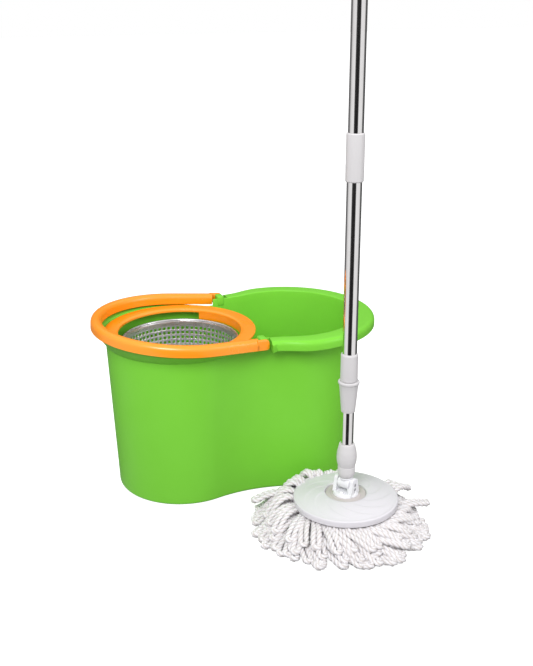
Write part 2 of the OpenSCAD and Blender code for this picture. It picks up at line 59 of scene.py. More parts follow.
def roundedPath(corners, steps=4, closed=True):
    # corners are (across, up, radius); a radius of 0 keeps the corner sharp
    path = []
    count = len(corners)
    for index, (x, y, radius) in enumerate(corners):
        here = Vector((x, y))
        atEnd = not closed and index in (0, count - 1)
        if radius <= 0 or atEnd:
            path.append(here)
            continue
        back = Vector(corners[index - 1][:2]) - here
        ahead = Vector(corners[(index + 1) % count][:2]) - here
        half = back.angle(ahead) / 2
        reach = min(radius / math.tan(half), 0.499 * back.length, 0.499 * ahead.length)
        centre = here + (back.normalized() + ahead.normalized()).normalized() * reach / math.cos(half)
        spoke = here + back.normalized() * reach - centre
        last = here + ahead.normalized() * reach - centre
        sweep = math.atan2(spoke.x * last.y - spoke.y * last.x, spoke.dot(last))
        for step in range(steps + 1):
            path.append(centre + Matrix.Rotation(sweep * step / steps, 2) @ spoke)
    return path


def arcPoints(centre, radiusX, radiusY, start, end, steps):
    path = []
    for step in range(steps + 1):
        angle = math.radians(start + (end - start) * step / steps)
        path.append(Vector((centre[0] + radiusX * math.cos(angle), centre[1] + radiusY * math.sin(angle))))
    return path


def turnedVerts(bm, path, start=0, axis=(0, 0), flip=False):
    # stands a profile upright at an angle about an axis; flip measures it inwards from the far side
    spoke = Vector((math.cos(math.radians(start)), math.sin(math.radians(start)), 0))
    base = Vector((axis[0], axis[1], 0))
    return [bm.verts.new(base + spoke * (flip - point.x if flip else point.x) + Vector((0, 0, point.y)))
            for point in path]


def spinLine(bm, path, steps, start=0, turn=360, axis=(0, 0), closed=False, flip=False):
    # a line turned about an upright axis makes a thin skin
    verts = turnedVerts(bm, path, start, axis, flip)
    edges = [bm.edges.new(pair) for pair in zip(verts, verts[1:])]
    if closed:
        edges.append(bm.edges.new((verts[-1], verts[0])))
    bmesh.ops.spin(bm, geom=verts + edges, cent=(axis[0], axis[1], 0), axis=(0, 0, 1),
                   angle=math.radians(turn), steps=steps, use_merge=abs(turn) >= 360, use_duplicate=False)


def spinSolid(bm, path, steps, start, turn, axis=(0, 0), flip=False):
    # a face turned part of the way makes a solid with both of its ends closed
    face = bm.faces.new(turnedVerts(bm, path, start, axis, flip))
    result = bmesh.ops.spin(bm, geom=list(face.verts) + list(face.edges) + [face], cent=(axis[0], axis[1], 0),
                            axis=(0, 0, 1), angle=math.radians(turn), steps=steps, use_merge=False,
                            use_duplicate=False)
    return [item for item in result["geom_last"] if isinstance(item, bmesh.types.BMFace)]


def roundedBlock(bm, low, high, bevel, segments=3):
    size = Vector(high) - Vector(low)
    made = bmesh.ops.create_cube(bm, size=1)["verts"]
    bmesh.ops.scale(bm, verts=made, vec=size)
    bmesh.ops.translate(bm, verts=made, vec=(Vector(low) + Vector(high)) / 2)
    edges = list({edge for vert in made for edge in vert.link_edges})
    bmesh.ops.bevel(bm, geom=edges, offset=bevel, segments=segments, profile=0.5, affect="EDGES",
                    material=-1, clamp_overlap=True)


def pushFaces(bm, faces, move):
    made = bmesh.ops.extrude_face_region(bm, geom=faces)["geom"]
    verts = [item for item in made if isinstance(item, bmesh.types.BMVert)]
    bmesh.ops.translate(bm, verts=verts, vec=move)
    return [item for item in made if isinstance(item, bmesh.types.BMFace)], verts


def finishPiece(bm, name, body, material, at=bucketAxis, stands=(), crease=38, weld=0.01,
                turnFaces=True):
    bmesh.ops.remove_doubles(bm, verts=bm.verts, dist=weld)
    bmesh.ops.dissolve_degenerate(bm, edges=bm.edges, dist=0.001)
    if turnFaces:
        bmesh.ops.recalc_face_normals(bm, faces=bm.faces)
    for face in bm.faces:
        face.smooth = True
    for edge in bm.edges:
        edge.smooth = len(edge.link_faces) < 2 or edge.calc_face_angle(0) < math.radians(crease)
    bmesh.ops.transform(bm, verts=bm.verts, matrix=Matrix.Translation(at) @ Matrix.Scale(0.001, 4))
    mesh = bpy.data.meshes.new(name)
    bm.to_mesh(mesh)
    bm.free()
    piece = bpy.data.objects.new(name, mesh)
    bpy.context.scene.collection.objects.link(piece)
    mesh.materials.append(material)
    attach(piece, body)
    if stands:
        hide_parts(*stands)
    return piece


# ---- camera, floor and light ----

studio = dict(place=(-0.4691, -1.4701, 0.8027), tilt=71.44, turn=-19.69, lens=54.05, rise=-25 / 666)

camera = bpy.data.objects.new("camera", bpy.data.cameras.new("camera"))
camera.location = studio["place"]
camera.rotation_euler = (math.radians(studio["tilt"]), 0, math.radians(studio["turn"]))
camera.data.lens = studio["lens"]
camera.data.sensor_width = 36
camera.data.shift_y = studio["rise"]
camera.data.clip_end = 50
bpy.context.scene.collection.objects.link(camera)
bpy.context.scene.camera = camera
bpy.context.scene.view_settings.view_transform = "Standard"
bpy.context.scene.view_settings.look = "None"


def nodeTree(owner):
    owner.use_nodes = True
    owner.node_tree.nodes.clear()
    return owner.node_tree


def addNode(tree, kind, **settings):
    node = tree.nodes.new(kind)
    for key, value in settings.items():
        setattr(node, key, value)
    return node


def wire(tree, source, target):
    tree.links.new(source, target)


def rampStops(ramp, stops):
    while len(ramp.color_ramp.elements) > 1:
        ramp.color_ramp.elements.remove(ramp.color_ramp.elements[-1])
    for index, (place, shade) in enumerate(stops):
        element = ramp.color_ramp.elements[0] if index == 0 else ramp.color_ramp.elements.new(place)
        element.position = place
        element.color = (shade, shade, shade, 1) if isinstance(shade, (int, float)) else (*shade, 1)


# bearings of the painted reflection bands run from 0 at -X, through 0.25 at -Y and 0.5 at +X, to 1 back at -X
worldLook = dict(fill=0.88, bounce=0.32, camera=1.0, reflectionBands=[
    (0.0, 0.95), (0.075, 1.0), (0.108, 0.04), (0.18, 0.015), (0.25, 0.03), (0.276, 1.0), (0.43, 0.95),
    (0.47, 0.12), (0.68, 0.07), (0.88, 0.2), (0.93, 0.8), (1.0, 0.95)])


def paintedReflectionBands(tree, point):
    # painted reflection: dark bands by bearing that stand in for flags beside the camera, as a studio sets
    # them round a polished tube; nothing casts them, and only glossy rays are given them
    split = addNode(tree, "ShaderNodeSeparateXYZ")
    bearing = addNode(tree, "ShaderNodeMath", operation="ARCTAN2")
    turn = addNode(tree, "ShaderNodeMapRange")
    turn.inputs["From Min"].default_value = -math.pi
    turn.inputs["From Max"].default_value = math.pi
    reflectionBands = addNode(tree, "ShaderNodeValToRGB")
    reflectionBands.color_ramp.interpolation = "EASE"
    rampStops(reflectionBands, worldLook["reflectionBands"])
    wire(tree, point, split.inputs[0])
    wire(tree, split.outputs["Y"], bearing.inputs[0])
    wire(tree, split.outputs["X"], bearing.inputs[1])
    wire(tree, bearing.outputs[0], turn.inputs["Value"])
    wire(tree, turn.outputs["Result"], reflectionBands.inputs["Fac"])
    return reflectionBands.outputs["Color"]


def lightWorld():
    world = bpy.data.worlds.new("studio")
    bpy.context.scene.world = world
    tree = nodeTree(world)
    output = addNode(tree, "ShaderNodeOutputWorld")
    coords = addNode(tree, "ShaderNodeTexCoord")
    path = addNode(tree, "ShaderNodeLightPath")
    soft = addNode(tree, "ShaderNodeBackground")
    soft.inputs["Color"].default_value = (1, 1, 1, 1)
    soft.inputs["Strength"].default_value = worldLook["fill"]
    mirror = addNode(tree, "ShaderNodeBackground")
    plain = addNode(tree, "ShaderNodeBackground")
    plain.inputs["Color"].default_value = (1, 1, 1, 1)
    plain.inputs["Strength"].default_value = worldLook["camera"]
    seenGloss = addNode(tree, "ShaderNodeMixShader")
    seenCamera = addNode(tree, "ShaderNodeMixShader")
    # overhead the reflected light is even, so that only upright polished parts show the painted reflection
    # bands
    height = addNode(tree, "ShaderNodeSeparateXYZ")
    rise = addNode(tree, "ShaderNodeMapRange")
    rise.inputs["From Min"].default_value = 0.35
    rise.inputs["From Max"].default_value = 0.75
    even = addNode(tree, "ShaderNodeMix", data_type="RGBA")
    even.inputs["B"].default_value = (0.95, 0.95, 0.95, 1)
    wire(tree, coords.outputs["Generated"], height.inputs[0])
    wire(tree, height.outputs["Z"], rise.inputs["Value"])
    wire(tree, rise.outputs["Result"], even.inputs["Factor"])
    wire(tree, paintedReflectionBands(tree, coords.outputs["Generated"]), even.inputs["A"])
    wire(tree, even.outputs["Result"], mirror.inputs["Color"])
    wire(tree, path.outputs["Is Glossy Ray"], seenGloss.inputs["Fac"])
    wire(tree, soft.outputs[0], seenGloss.inputs[1])
    wire(tree, mirror.outputs[0], seenGloss.inputs[2])
    wire(tree, path.outputs["Is Camera Ray"], seenCamera.inputs["Fac"])
    wire(tree, seenGloss.outputs[0], seenCamera.inputs[1])
    wire(tree, plain.outputs[0], seenCamera.inputs[2])
    wire(tree, seenCamera.outputs[0], output.inputs["Surface"])


def softLamp(name, place, target, size, power):
    lamp = bpy.data.objects.new(name, bpy.data.lights.new(name, "AREA"))
    lamp.data.shape = "RECTANGLE"
    lamp.data.size = size[0]
    lamp.data.size_y = size[1]
    lamp.data.energy = power
    lamp.location = place
    lamp.rotation_euler = (Vector(target) - Vector(place)).to_track_quat("-Z", "Y").to_euler()
    bpy.context.scene.collection.objects.link(lamp)


lamps = dict(key=((-1.15, -1.8, 2.1), (1.2, 1.2), 56), side=((1.7, -1.5, 1.5), (0.8, 1.2), 12))
lightWorld()
softLamp("keyLamp", lamps["key"][0], (0, 0, 0.15), lamps["key"][1], lamps["key"][2])
softLamp("sideLamp", lamps["side"][0], (0, 0, 0.15), lamps["side"][1], lamps["side"][2])


def layFloor():
    bm = bmesh.new()
    bmesh.ops.create_grid(bm, x_segments=8, y_segments=8, size=12)
    mesh = bpy.data.meshes.new("floor")
    bm.to_mesh(mesh)
    bm.free()
    floor = bpy.data.objects.new("floor", mesh)
    bpy.context.scene.collection.objects.link(floor)
    paper = bpy.data.materials.new("studioPaper")
    tree = nodeTree(paper)
    shader = addNode(tree, "ShaderNodeBsdfPrincipled")
    shader.inputs["Base Color"].default_value = (0.5, 0.5, 0.5, 1)
    shader.inputs["Roughness"].default_value = 0.9
    shader.inputs["Specular IOR Level"].default_value = 0.1
    shader.inputs["Emission Color"].default_value = (1, 1, 1, 1)
    shader.inputs["Emission Strength"].default_value = 0.8
    output = addNode(tree, "ShaderNodeOutputMaterial")
    # painted reflection: the same dark bands are painted on the paper for glossy rays only, so only a
    # polished piece shows them
    coords = addNode(tree, "ShaderNodeTexCoord")
    shift = addNode(tree, "ShaderNodeVectorMath", operation="SUBTRACT")
    shift.inputs[1].default_value = mopAxis
    paintedFlagReflection = addNode(tree, "ShaderNodeEmission")
    path = addNode(tree, "ShaderNodeLightPath")
    seen = addNode(tree, "ShaderNodeMixShader")
    bounce = addNode(tree, "ShaderNodeEmission")
    bounce.inputs["Strength"].default_value = worldLook["bounce"]
    lit = addNode(tree, "ShaderNodeMixShader")
    wire(tree, coords.outputs["Object"], shift.inputs[0])
    wire(tree, paintedReflectionBands(tree, shift.outputs[0]), paintedFlagReflection.inputs["Color"])
    wire(tree, path.outputs["Is Diffuse Ray"], lit.inputs["Fac"])
    wire(tree, shader.outputs[0], lit.inputs[1])
    wire(tree, bounce.outputs[0], lit.inputs[2])
    wire(tree, path.outputs["Is Glossy Ray"], seen.inputs["Fac"])
    wire(tree, lit.outputs[0], seen.inputs[1])
    wire(tree, paintedFlagReflection.outputs[0], seen.inputs[2])
    wire(tree, seen.outputs[0], output.inputs["Surface"])
    mesh.materials.append(paper)


layFloor()
print("camera, floor and light are set")


# ---- shared effects ----

def effectGroup(name, inputs, outputs):
    group = bpy.data.node_groups.new(name, "ShaderNodeTree")
    for label, kind, value in inputs:
        socket = group.interface.new_socket(name=label, in_out="INPUT", socket_type=kind)
        if value is not None:
            socket.default_value = value
    for label, kind in outputs:
        group.interface.new_socket(name=label, in_out="OUTPUT", socket_type=kind)
    source = addNode(group, "NodeGroupInput")
    result = addNode(group, "NodeGroupOutput")
    return group, source, result


def objectPoint(tree):
    coords = addNode(tree, "ShaderNodeTexCoord")
    return coords.outputs["Object"]


def mouldSkin():
    # the fine pebble and slow waves of a moulded surface, with a faint drift of shade
    group, source, result = effectGroup("mouldSkin", [
        ("Vector", "NodeSocketVector", None), ("Pebble Scale", "NodeSocketFloat", 900.0),
        ("Wave Scale", "NodeSocketFloat", 28.0), ("Base", "NodeSocketColor", (1, 1, 1, 1)),
        ("Shade", "NodeSocketColor", (0.8, 0.8, 0.8, 1)), ("Drift", "NodeSocketFloat", 0.3),
        ("Gloss Low", "NodeSocketFloat", 0.3), ("Gloss High", "NodeSocketFloat", 0.4)],
        [("Color", "NodeSocketColor"), ("Roughness", "NodeSocketFloat"), ("Height", "NodeSocketFloat")])
    pebble = addNode(group, "ShaderNodeTexNoise")
    pebble.inputs["Detail"].default_value = 3
    wave = addNode(group, "ShaderNodeTexNoise")
    wave.inputs["Detail"].default_value = 2
    drift = addNode(group, "ShaderNodeMath", operation="MULTIPLY")
    blend = addNode(group, "ShaderNodeMix", data_type="RGBA")
    gloss = addNode(group, "ShaderNodeMapRange")
    gloss.inputs["From Min"].default_value = 0.3
    gloss.inputs["From Max"].default_value = 0.7
    high = addNode(group, "ShaderNodeMath", operation="MULTIPLY_ADD")
    high.inputs[1].default_value = 4.0
    wire(group, source.outputs["Vector"], pebble.inputs["Vector"])
    wire(group, source.outputs["Pebble Scale"], pebble.inputs["Scale"])
    wire(group, source.outputs["Vector"], wave.inputs["Vector"])
    wire(group, source.outputs["Wave Scale"], wave.inputs["Scale"])
    wire(group, wave.outputs["Fac"], drift.inputs[0])
    wire(group, source.outputs["Drift"], drift.inputs[1])
    wire(group, drift.outputs[0], blend.inputs["Factor"])
    wire(group, source.outputs["Base"], blend.inputs["A"])
    wire(group, source.outputs["Shade"], blend.inputs["B"])
    wire(group, blend.outputs["Result"], result.inputs["Color"])
    wire(group, wave.outputs["Fac"], gloss.inputs["Value"])
    wire(group, source.outputs["Gloss Low"], gloss.inputs["To Min"])
    wire(group, source.outputs["Gloss High"], gloss.inputs["To Max"])
    wire(group, gloss.outputs["Result"], result.inputs["Roughness"])
    wire(group, wave.outputs["Fac"], high.inputs[0])
    wire(group, pebble.outputs["Fac"], high.inputs[2])
    wire(group, high.outputs[0], result.inputs["Height"])
    return group


def fineScuffs():
    # hair scratches that lie in a few directions, dim enough to show only in the gloss
    group, source, result = effectGroup("fineScuffs", [
        ("Vector", "NodeSocketVector", None), ("Scale", "NodeSocketFloat", 60.0),
        ("Amount", "NodeSocketFloat", 0.4)], [("Mask", "NodeSocketFloat")])
    total = None
    for index, (turn, stretch) in enumerate([((0.2, 0.7, 0.3), (1, 14, 1)), ((1.1, 0.2, 0.9), (12, 1, 2))]):
        place = addNode(group, "ShaderNodeMapping")
        place.inputs["Rotation"].default_value = turn
        place.inputs["Scale"].default_value = stretch
        noise = addNode(group, "ShaderNodeTexNoise")
        noise.inputs["Detail"].default_value = 4
        noise.inputs["Roughness"].default_value = 0.6
        cut = addNode(group, "ShaderNodeMapRange")
        cut.inputs["From Min"].default_value = 0.63
        cut.inputs["From Max"].default_value = 0.72
        wire(group, source.outputs["Vector"], place.inputs["Vector"])
        wire(group, place.outputs[0], noise.inputs["Vector"])
        wire(group, source.outputs["Scale"], noise.inputs["Scale"])
        wire(group, noise.outputs["Fac"], cut.inputs["Value"])
        if index == 0:
            total = cut.outputs["Result"]
        else:
            both = addNode(group, "ShaderNodeMath", operation="MAXIMUM")
            wire(group, total, both.inputs[0])
            wire(group, cut.outputs["Result"], both.inputs[1])
            total = both.outputs[0]
    scaled = addNode(group, "ShaderNodeMath", operation="MULTIPLY")
    wire(group, total, scaled.inputs[0])
    wire(group, source.outputs["Amount"], scaled.inputs[1])
    wire(group, scaled.outputs[0], result.inputs["Mask"])
    return group


def drawnLines():
    # polishing lines that run along or round a metal piece, by the stretch given
    group, source, result = effectGroup("drawnLines", [
        ("Vector", "NodeSocketVector", None), ("Stretch", "NodeSocketVector", (1, 1, 0.02)),
        ("Scale", "NodeSocketFloat", 900.0), ("Gloss Low", "NodeSocketFloat", 0.12),
        ("Gloss High", "NodeSocketFloat", 0.24)],
        [("Roughness", "NodeSocketFloat"), ("Height", "NodeSocketFloat"), ("Mask", "NodeSocketFloat")])
    place = addNode(group, "ShaderNodeVectorMath", operation="MULTIPLY")
    line = addNode(group, "ShaderNodeTexNoise")
    line.inputs["Detail"].default_value = 5
    cloud = addNode(group, "ShaderNodeTexNoise")
    cloud.inputs["Scale"].default_value = 40
    both = addNode(group, "ShaderNodeMath", operation="MULTIPLY_ADD")
    both.inputs[1].default_value = 0.6
    gloss = addNode(group, "ShaderNodeMapRange")
    gloss.inputs["From Min"].default_value = 0.6
    gloss.inputs["From Max"].default_value = 1.0
    wire(group, source.outputs["Vector"], place.inputs[0])
    wire(group, source.outputs["Stretch"], place.inputs[1])
    wire(group, place.outputs[0], line.inputs["Vector"])
    wire(group, source.outputs["Scale"], line.inputs["Scale"])
    wire(group, source.outputs["Vector"], cloud.inputs["Vector"])
    wire(group, cloud.outputs["Fac"], both.inputs[0])
    wire(group, line.outputs["Fac"], both.inputs[2])
    wire(group, both.outputs[0], gloss.inputs["Value"])
    wire(group, source.outputs["Gloss Low"], gloss.inputs["To Min"])
    wire(group, source.outputs["Gloss High"], gloss.inputs["To Max"])
    wire(group, gloss.outputs["Result"], result.inputs["Roughness"])
    wire(group, line.outputs["Fac"], result.inputs["Height"])
    wire(group, cloud.outputs["Fac"], result.inputs["Mask"])
    return group


effects = dict(mould=mouldSkin(), scuffs=fineScuffs(), lines=drawnLines())


def placeEffect(tree, name, **values):
    node = addNode(tree, "ShaderNodeGroup", node_tree=effects[name])
    for key, value in values.items():
        node.inputs[key].default_value = value
    return node


def shaderOf(tree, **values):
    shader = addNode(tree, "ShaderNodeBsdfPrincipled")
    output = addNode(tree, "ShaderNodeOutputMaterial")
    wire(tree, shader.outputs[0], output.inputs["Surface"])
    for key, value in values.items():
        shader.inputs[key].default_value = value
    return shader


def addBump(tree, shader, height, strength, distance):
    bump = addNode(tree, "ShaderNodeBump")
    bump.inputs["Strength"].default_value = strength
    bump.inputs["Distance"].default_value = distance
    wire(tree, height, bump.inputs["Height"])
    wire(tree, bump.outputs["Normal"], shader.inputs["Normal"])


def plasticFinish(name, base, shade, drift, gloss, pebble=900, scuff=0.25, bump=0.12,
                  shine=0.3):
    material = bpy.data.materials.new(name)
    tree = nodeTree(material)
    shader = shaderOf(tree, **{"IOR": 1.49, "Specular IOR Level": shine})
    point = objectPoint(tree)
    skin = placeEffect(tree, "mould", **{
        "Base": (*base, 1), "Shade": (*shade, 1), "Drift": drift, "Gloss Low": gloss[0],
        "Gloss High": gloss[1], "Pebble Scale": pebble})
    wire(tree, point, skin.inputs["Vector"])
    marks = placeEffect(tree, "scuffs", **{"Amount": scuff})
    wire(tree, point, marks.inputs["Vector"])
    duller = addNode(tree, "ShaderNodeMath", operation="ADD")
    wire(tree, skin.outputs["Roughness"], duller.inputs[0])
    wire(tree, marks.outputs["Mask"], duller.inputs[1])
    wire(tree, skin.outputs["Color"], shader.inputs["Base Color"])
    wire(tree, duller.outputs[0], shader.inputs["Roughness"])
    addBump(tree, shader, skin.outputs["Height"], bump, 0.0004)
    return material


def metalFinish(name, base, tint, gloss, stretch, scale=900, bump=0.05):
    material = bpy.data.materials.new(name)
    tree = nodeTree(material)
    shader = shaderOf(tree, **{"Metallic": 1.0})
    point = objectPoint(tree)
    lines = placeEffect(tree, "lines", **{
        "Stretch": stretch, "Scale": scale, "Gloss Low": gloss[0], "Gloss High": gloss[1]})
    wire(tree, point, lines.inputs["Vector"])
    colour = addNode(tree, "ShaderNodeMix", data_type="RGBA")
    colour.inputs["A"].default_value = (*base, 1)
    colour.inputs["B"].default_value = (*tint, 1)
    wire(tree, lines.outputs["Mask"], colour.inputs["Factor"])
    wire(tree, colour.outputs["Result"], shader.inputs["Base Color"])
    wire(tree, lines.outputs["Roughness"], shader.inputs["Roughness"])
    addBump(tree, shader, lines.outputs["Height"], bump, 0.0002)
    return material


finishes = dict(
    green=plasticFinish("leafGreenPlastic", (0.190, 0.600, 0.045), (0.172, 0.560, 0.037), 0.5, (0.3, 0.42),
                        shine=0.22),
    orange=plasticFinish("amberPlastic", (1.0, 0.300, 0.002), (0.95, 0.262, 0.001), 0.4, (0.26, 0.36),
                         scuff=0.12,
                         shine=0.85),
    grey=plasticFinish("paleGreyPlastic", (0.59, 0.575, 0.585), (0.54, 0.525, 0.535), 0.4, (0.38, 0.5),
                       pebble=1400),
    warmGrey=plasticFinish("warmGreyPlastic", (0.50, 0.462, 0.452), (0.46, 0.425, 0.415), 0.4, (0.4, 0.5)),
    white=plasticFinish("milkWhitePlastic", (0.74, 0.74, 0.77), (0.70, 0.69, 0.72), 0.4, (0.28, 0.4)),
    plate=plasticFinish("plateWhitePlastic", (0.62, 0.605, 0.64), (0.59, 0.57, 0.60), 0.4, (0.3, 0.42)),
    tube=metalFinish("brightTubeSteel", (0.80, 0.79, 0.79), (0.70, 0.68, 0.68), (0.07, 0.13), (1, 1, 0.015)),
    sheet=metalFinish("basketSheetSteel", (0.72, 0.72, 0.73), (0.60, 0.60, 0.62), (0.24, 0.34),
                      (0.25, 0.25, 3),
                      scale=400, bump=0.015),
    turned=metalFinish("turnedSteel", (0.62, 0.62, 0.64), (0.5, 0.5, 0.52), (0.22, 0.34), (0.4, 0.4, 4)),
    bronze=metalFinish("bushBronze", (0.62, 0.42, 0.17), (0.5, 0.33, 0.12), (0.3, 0.45), (1, 1, 1),
                       scale=500))
print("finishes are mixed")


# ---- bucket ----

bucketSize = dict(gap=182, base=106, rim=268, lowRim=257, lean=2.85, waistDepth=13, wall=2.6, floor=3,
                  lipWidth=27.5, lipDrop=16, lipTaper=0.26, lipStart=6.4, stepStart=-1.1,
                  ledge=15.5, bendDrop=4, bailSlope=0.0629, footRound=5, pedestal=(36, 17, 127))


def wallAt(z):
    return bucketSize["base"] + z * math.tan(math.radians(bucketSize["lean"]))


def wallCorners(top, withLip):
    size = bucketSize
    wall = size["wall"]
    seam = size["lowRim"] - 1.5
    bend = size["rim"] - size["bendDrop"]
    corners = [(size["base"] - 12, 0, 0), (size["base"], 0, size["footRound"]), (wallAt(seam), seam, 0)]
    if withLip:
        out = wallAt(size["rim"]) + size["lipWidth"]
        low = size["rim"] - size["lipDrop"]
        corners += [(wallAt(bend), bend, 0), (wallAt(top - wall), top - wall, 0.8),
                    (out - wall, top - wall, 10.5),
                    (out - wall, low, 0.7), (out, low, 0.7), (out, top, 13), (wallAt(top) - wall, top, 1.8)]
    elif top > size["lowRim"]:
        corners += [(wallAt(bend), bend, 0), (wallAt(top), top, 1.2), (wallAt(top) - wall, top, 1.2)]
    else:
        corners += [(wallAt(top), top, 1.2), (wallAt(top) - wall, top, 1.2)]
    corners += [(wallAt(seam) - wall, seam, 0), (size["base"] - wall, size["floor"], 6),
                (size["base"] - 14, size["floor"], 0)]
    return corners


def makeBucket():
    size = bucketSize
    half = size["gap"] / 2
    waist = size["base"] - size["waistDepth"]
    scoopRadius = (half ** 2 + waist ** 2 - size["base"] ** 2) / (2 * (size["base"] - waist))
    reach = size["base"] + scoopRadius
    scoopY = math.sqrt(reach ** 2 - half ** 2)
    lean = math.degrees(math.atan2(scoopY, half))  # bearing of a scoop's centre from the lobe's
    low = roundedPath(wallCorners(size["lowRim"], False), 4, closed=False)
    high = roundedPath(wallCorners(size["rim"], False), 4, closed=False)
    lipped = roundedPath(wallCorners(size["rim"], True), 6, closed=False)
    bm = bmesh.new()
    spinLine(bm, lipped, 84, start=-180 + lean, turn=360 - 2 * lean, axis=(half, 0))
    spinLine(bm, low, 84, start=lean, turn=360 - 2 * lean, axis=(-half, 0))
    for side in (-1, 1):
        centre = (0, side * scoopY)
        marks = [-side * lean, -side * (90 - size["lipStart"]), -side * (90 - size["stepStart"]),
                 -side * (180 - lean)]
        spinLine(bm, lipped, 4, marks[0], marks[1] - marks[0], centre, flip=reach)
        spinLine(bm, high, 4, marks[1], marks[2] - marks[1], centre, flip=reach)
        spinLine(bm, low, 8, marks[2], marks[3] - marks[2], centre, flip=reach)
        # the web that closes the lip's channel where it starts
        top = size["rim"] - 0.2
        out = wallAt(size["rim"]) + size["lipWidth"] - 0.2
        web = roundedPath([(wallAt(250), 252.4, 0), (out, 252.4, 0), (out, top, 13),
                           (wallAt(top) - 1, top, 0)], 6)
        spinSolid(bm, web, 2, marks[1] + side * 1.0, -side * 0.96, centre, flip=reach)
    bmesh.ops.remove_doubles(bm, verts=bm.verts, dist=0.02)
    # the lip narrows towards its two ends
    for vert in bm.verts:
        if vert.co.z < 251 or vert.co.x < 20:
            continue
        ease = min(1, max(0, (90 - vert.co.x) / 58))
        ease = ease * ease * (3 - 2 * ease)
        narrowed = 1 - size["lipTaper"] * ease
        if vert.co.x > half + (-half / reach) * size["base"]:
            centre = Vector((half, 0))
            flat = vert.co.xy - centre
            beyond = flat.length - wallAt(vert.co.z)
            if beyond > 0.2:
                flat = flat.normalized() * (wallAt(vert.co.z) + beyond * narrowed)
                vert.co.xy = centre + flat
        else:
            centre = Vector((0, scoopY if vert.co.y > 0 else -scoopY))
            flat = vert.co.xy - centre
            beyond = (reach - flat.length) - wallAt(vert.co.z)
            if beyond > 0.2:
                flat = flat.normalized() * (reach - wallAt(vert.co.z) - beyond * narrowed)
                vert.co.xy = centre + flat
    bmesh.ops.holes_fill(bm, edges=[edge for edge in bm.edges if edge.is_boundary], sides=0)
    # a saucer under the bail on the basket side; it rises with the bail's slope
    wide = wallAt(250) + size["ledge"]
    ledge = roundedPath([(wallAt(247) - 1, 246, 0), (wallAt(247) + 1, 246, 1.5), (126, 251.5, 2),
                         (wide - 0.4, 257.6, 1.0), (wide, 259.6, 0.9), (wide - 2, 260, 0.8),
                         (123.4, 257.4, 1.5),
                         (122.6, 255.2, 0.5), (wallAt(250) - 1, 255.2, 0)], 3)
    before = set(bm.verts)
    spinSolid(bm, ledge, 96, 63, 234, (-half, 0))
    for vert in set(bm.verts) - before:
        reachOut = (vert.co.xy - Vector((-half, 0))).length
        share = min(1, max(0, (reachOut - 122.6) / 7.4))
        vert.co.z += share * (-half - vert.co.x) * size["bailSlope"]
    # bosses that carry the bail's studs
    for side in (-1, 1):
        ends = sorted((side * 102.0, side * 121.0))
        roundedBlock(bm, (4.5, ends[0], 256), (15.5, ends[1], 272), 1.6)
    # pedestal of the spindle
    foot, neck, top = size["pedestal"]
    stand = roundedPath([(0, top, 0), (neck, top, 2.5), (foot, 3.4, 0), (foot + 6, 2.9, 0), (0, 2.9, 0)],
                        3, closed=False)
    spinLine(bm, stand, 64, axis=(-half, 0))
    return finishPiece(bm, "bucketWall", "bucket", finishes["green"],
                       stands=("bucket_shell",), crease=42, weld=0.02)


makeBucket()
print("bucket is up")


# ---- wringer collar ----

collarSize = dict(inner=98.49, outer=121.99, low=257, top=260.4, lipLow=249, lipArc=196, skirtDrop=14,
                  skirtArc=112)


def makeCollar():
    size = collarSize
    bm = bmesh.new()
    ring = roundedPath([
        (size["inner"], size["low"] - 2.2, 0.9), (size["inner"] + 2.0, size["low"] - 2.2, 0.9),
        (size["inner"] + 2.4, size["low"], 0.6), (size["outer"], size["low"], 0.5),
        (size["outer"], size["top"], 2.0),
        (size["inner"] + 4.5, size["top"], 2.5), (size["inner"], size["top"] - 1.6, 1.4)], 5)
    spinLine(bm, ring, 144, closed=True)
    lip = roundedPath([(119.25, size["lipLow"], 0.5), (121.7, size["lipLow"], 0.8),
                       (121.8, size["low"] + 0.5, 0),
                       (119.25, size["low"] + 0.5, 0)], 3)
    spinSolid(bm, lip, 80, 180 - size["lipArc"] / 2, size["lipArc"])
    skirt = roundedPath([(98.8, size["low"] - size["skirtDrop"], 0.8),
                         (101.2, size["low"] - size["skirtDrop"], 0.8),
                         (101.2, size["low"] + 0.6, 0), (98.8, size["low"] + 0.6, 0)], 3)
    spinSolid(bm, skirt, 56, -size["skirtArc"] / 2, size["skirtArc"])
    roundedBlock(bm, (-129, -9, 257.5), (-120.5, 9, 269.2), 1.2)
    return finishPiece(bm, "collarRing", "bucket", finishes["orange"], at=basketAxis,
                       stands=("wringer_collar",), crease=40)


makeCollar()
print("collar is on")


# ---- spin basket ----

basketSize = dict(rim=95.5, roll=2.1, rimTop=245, top=243, floor=165, wallTop=92.4, wallFoot=83.5, corner=9,
                  columns=72, rows=7, pitch=7.9, firstRow=233.6, frame=1.55, sheet=0.8)


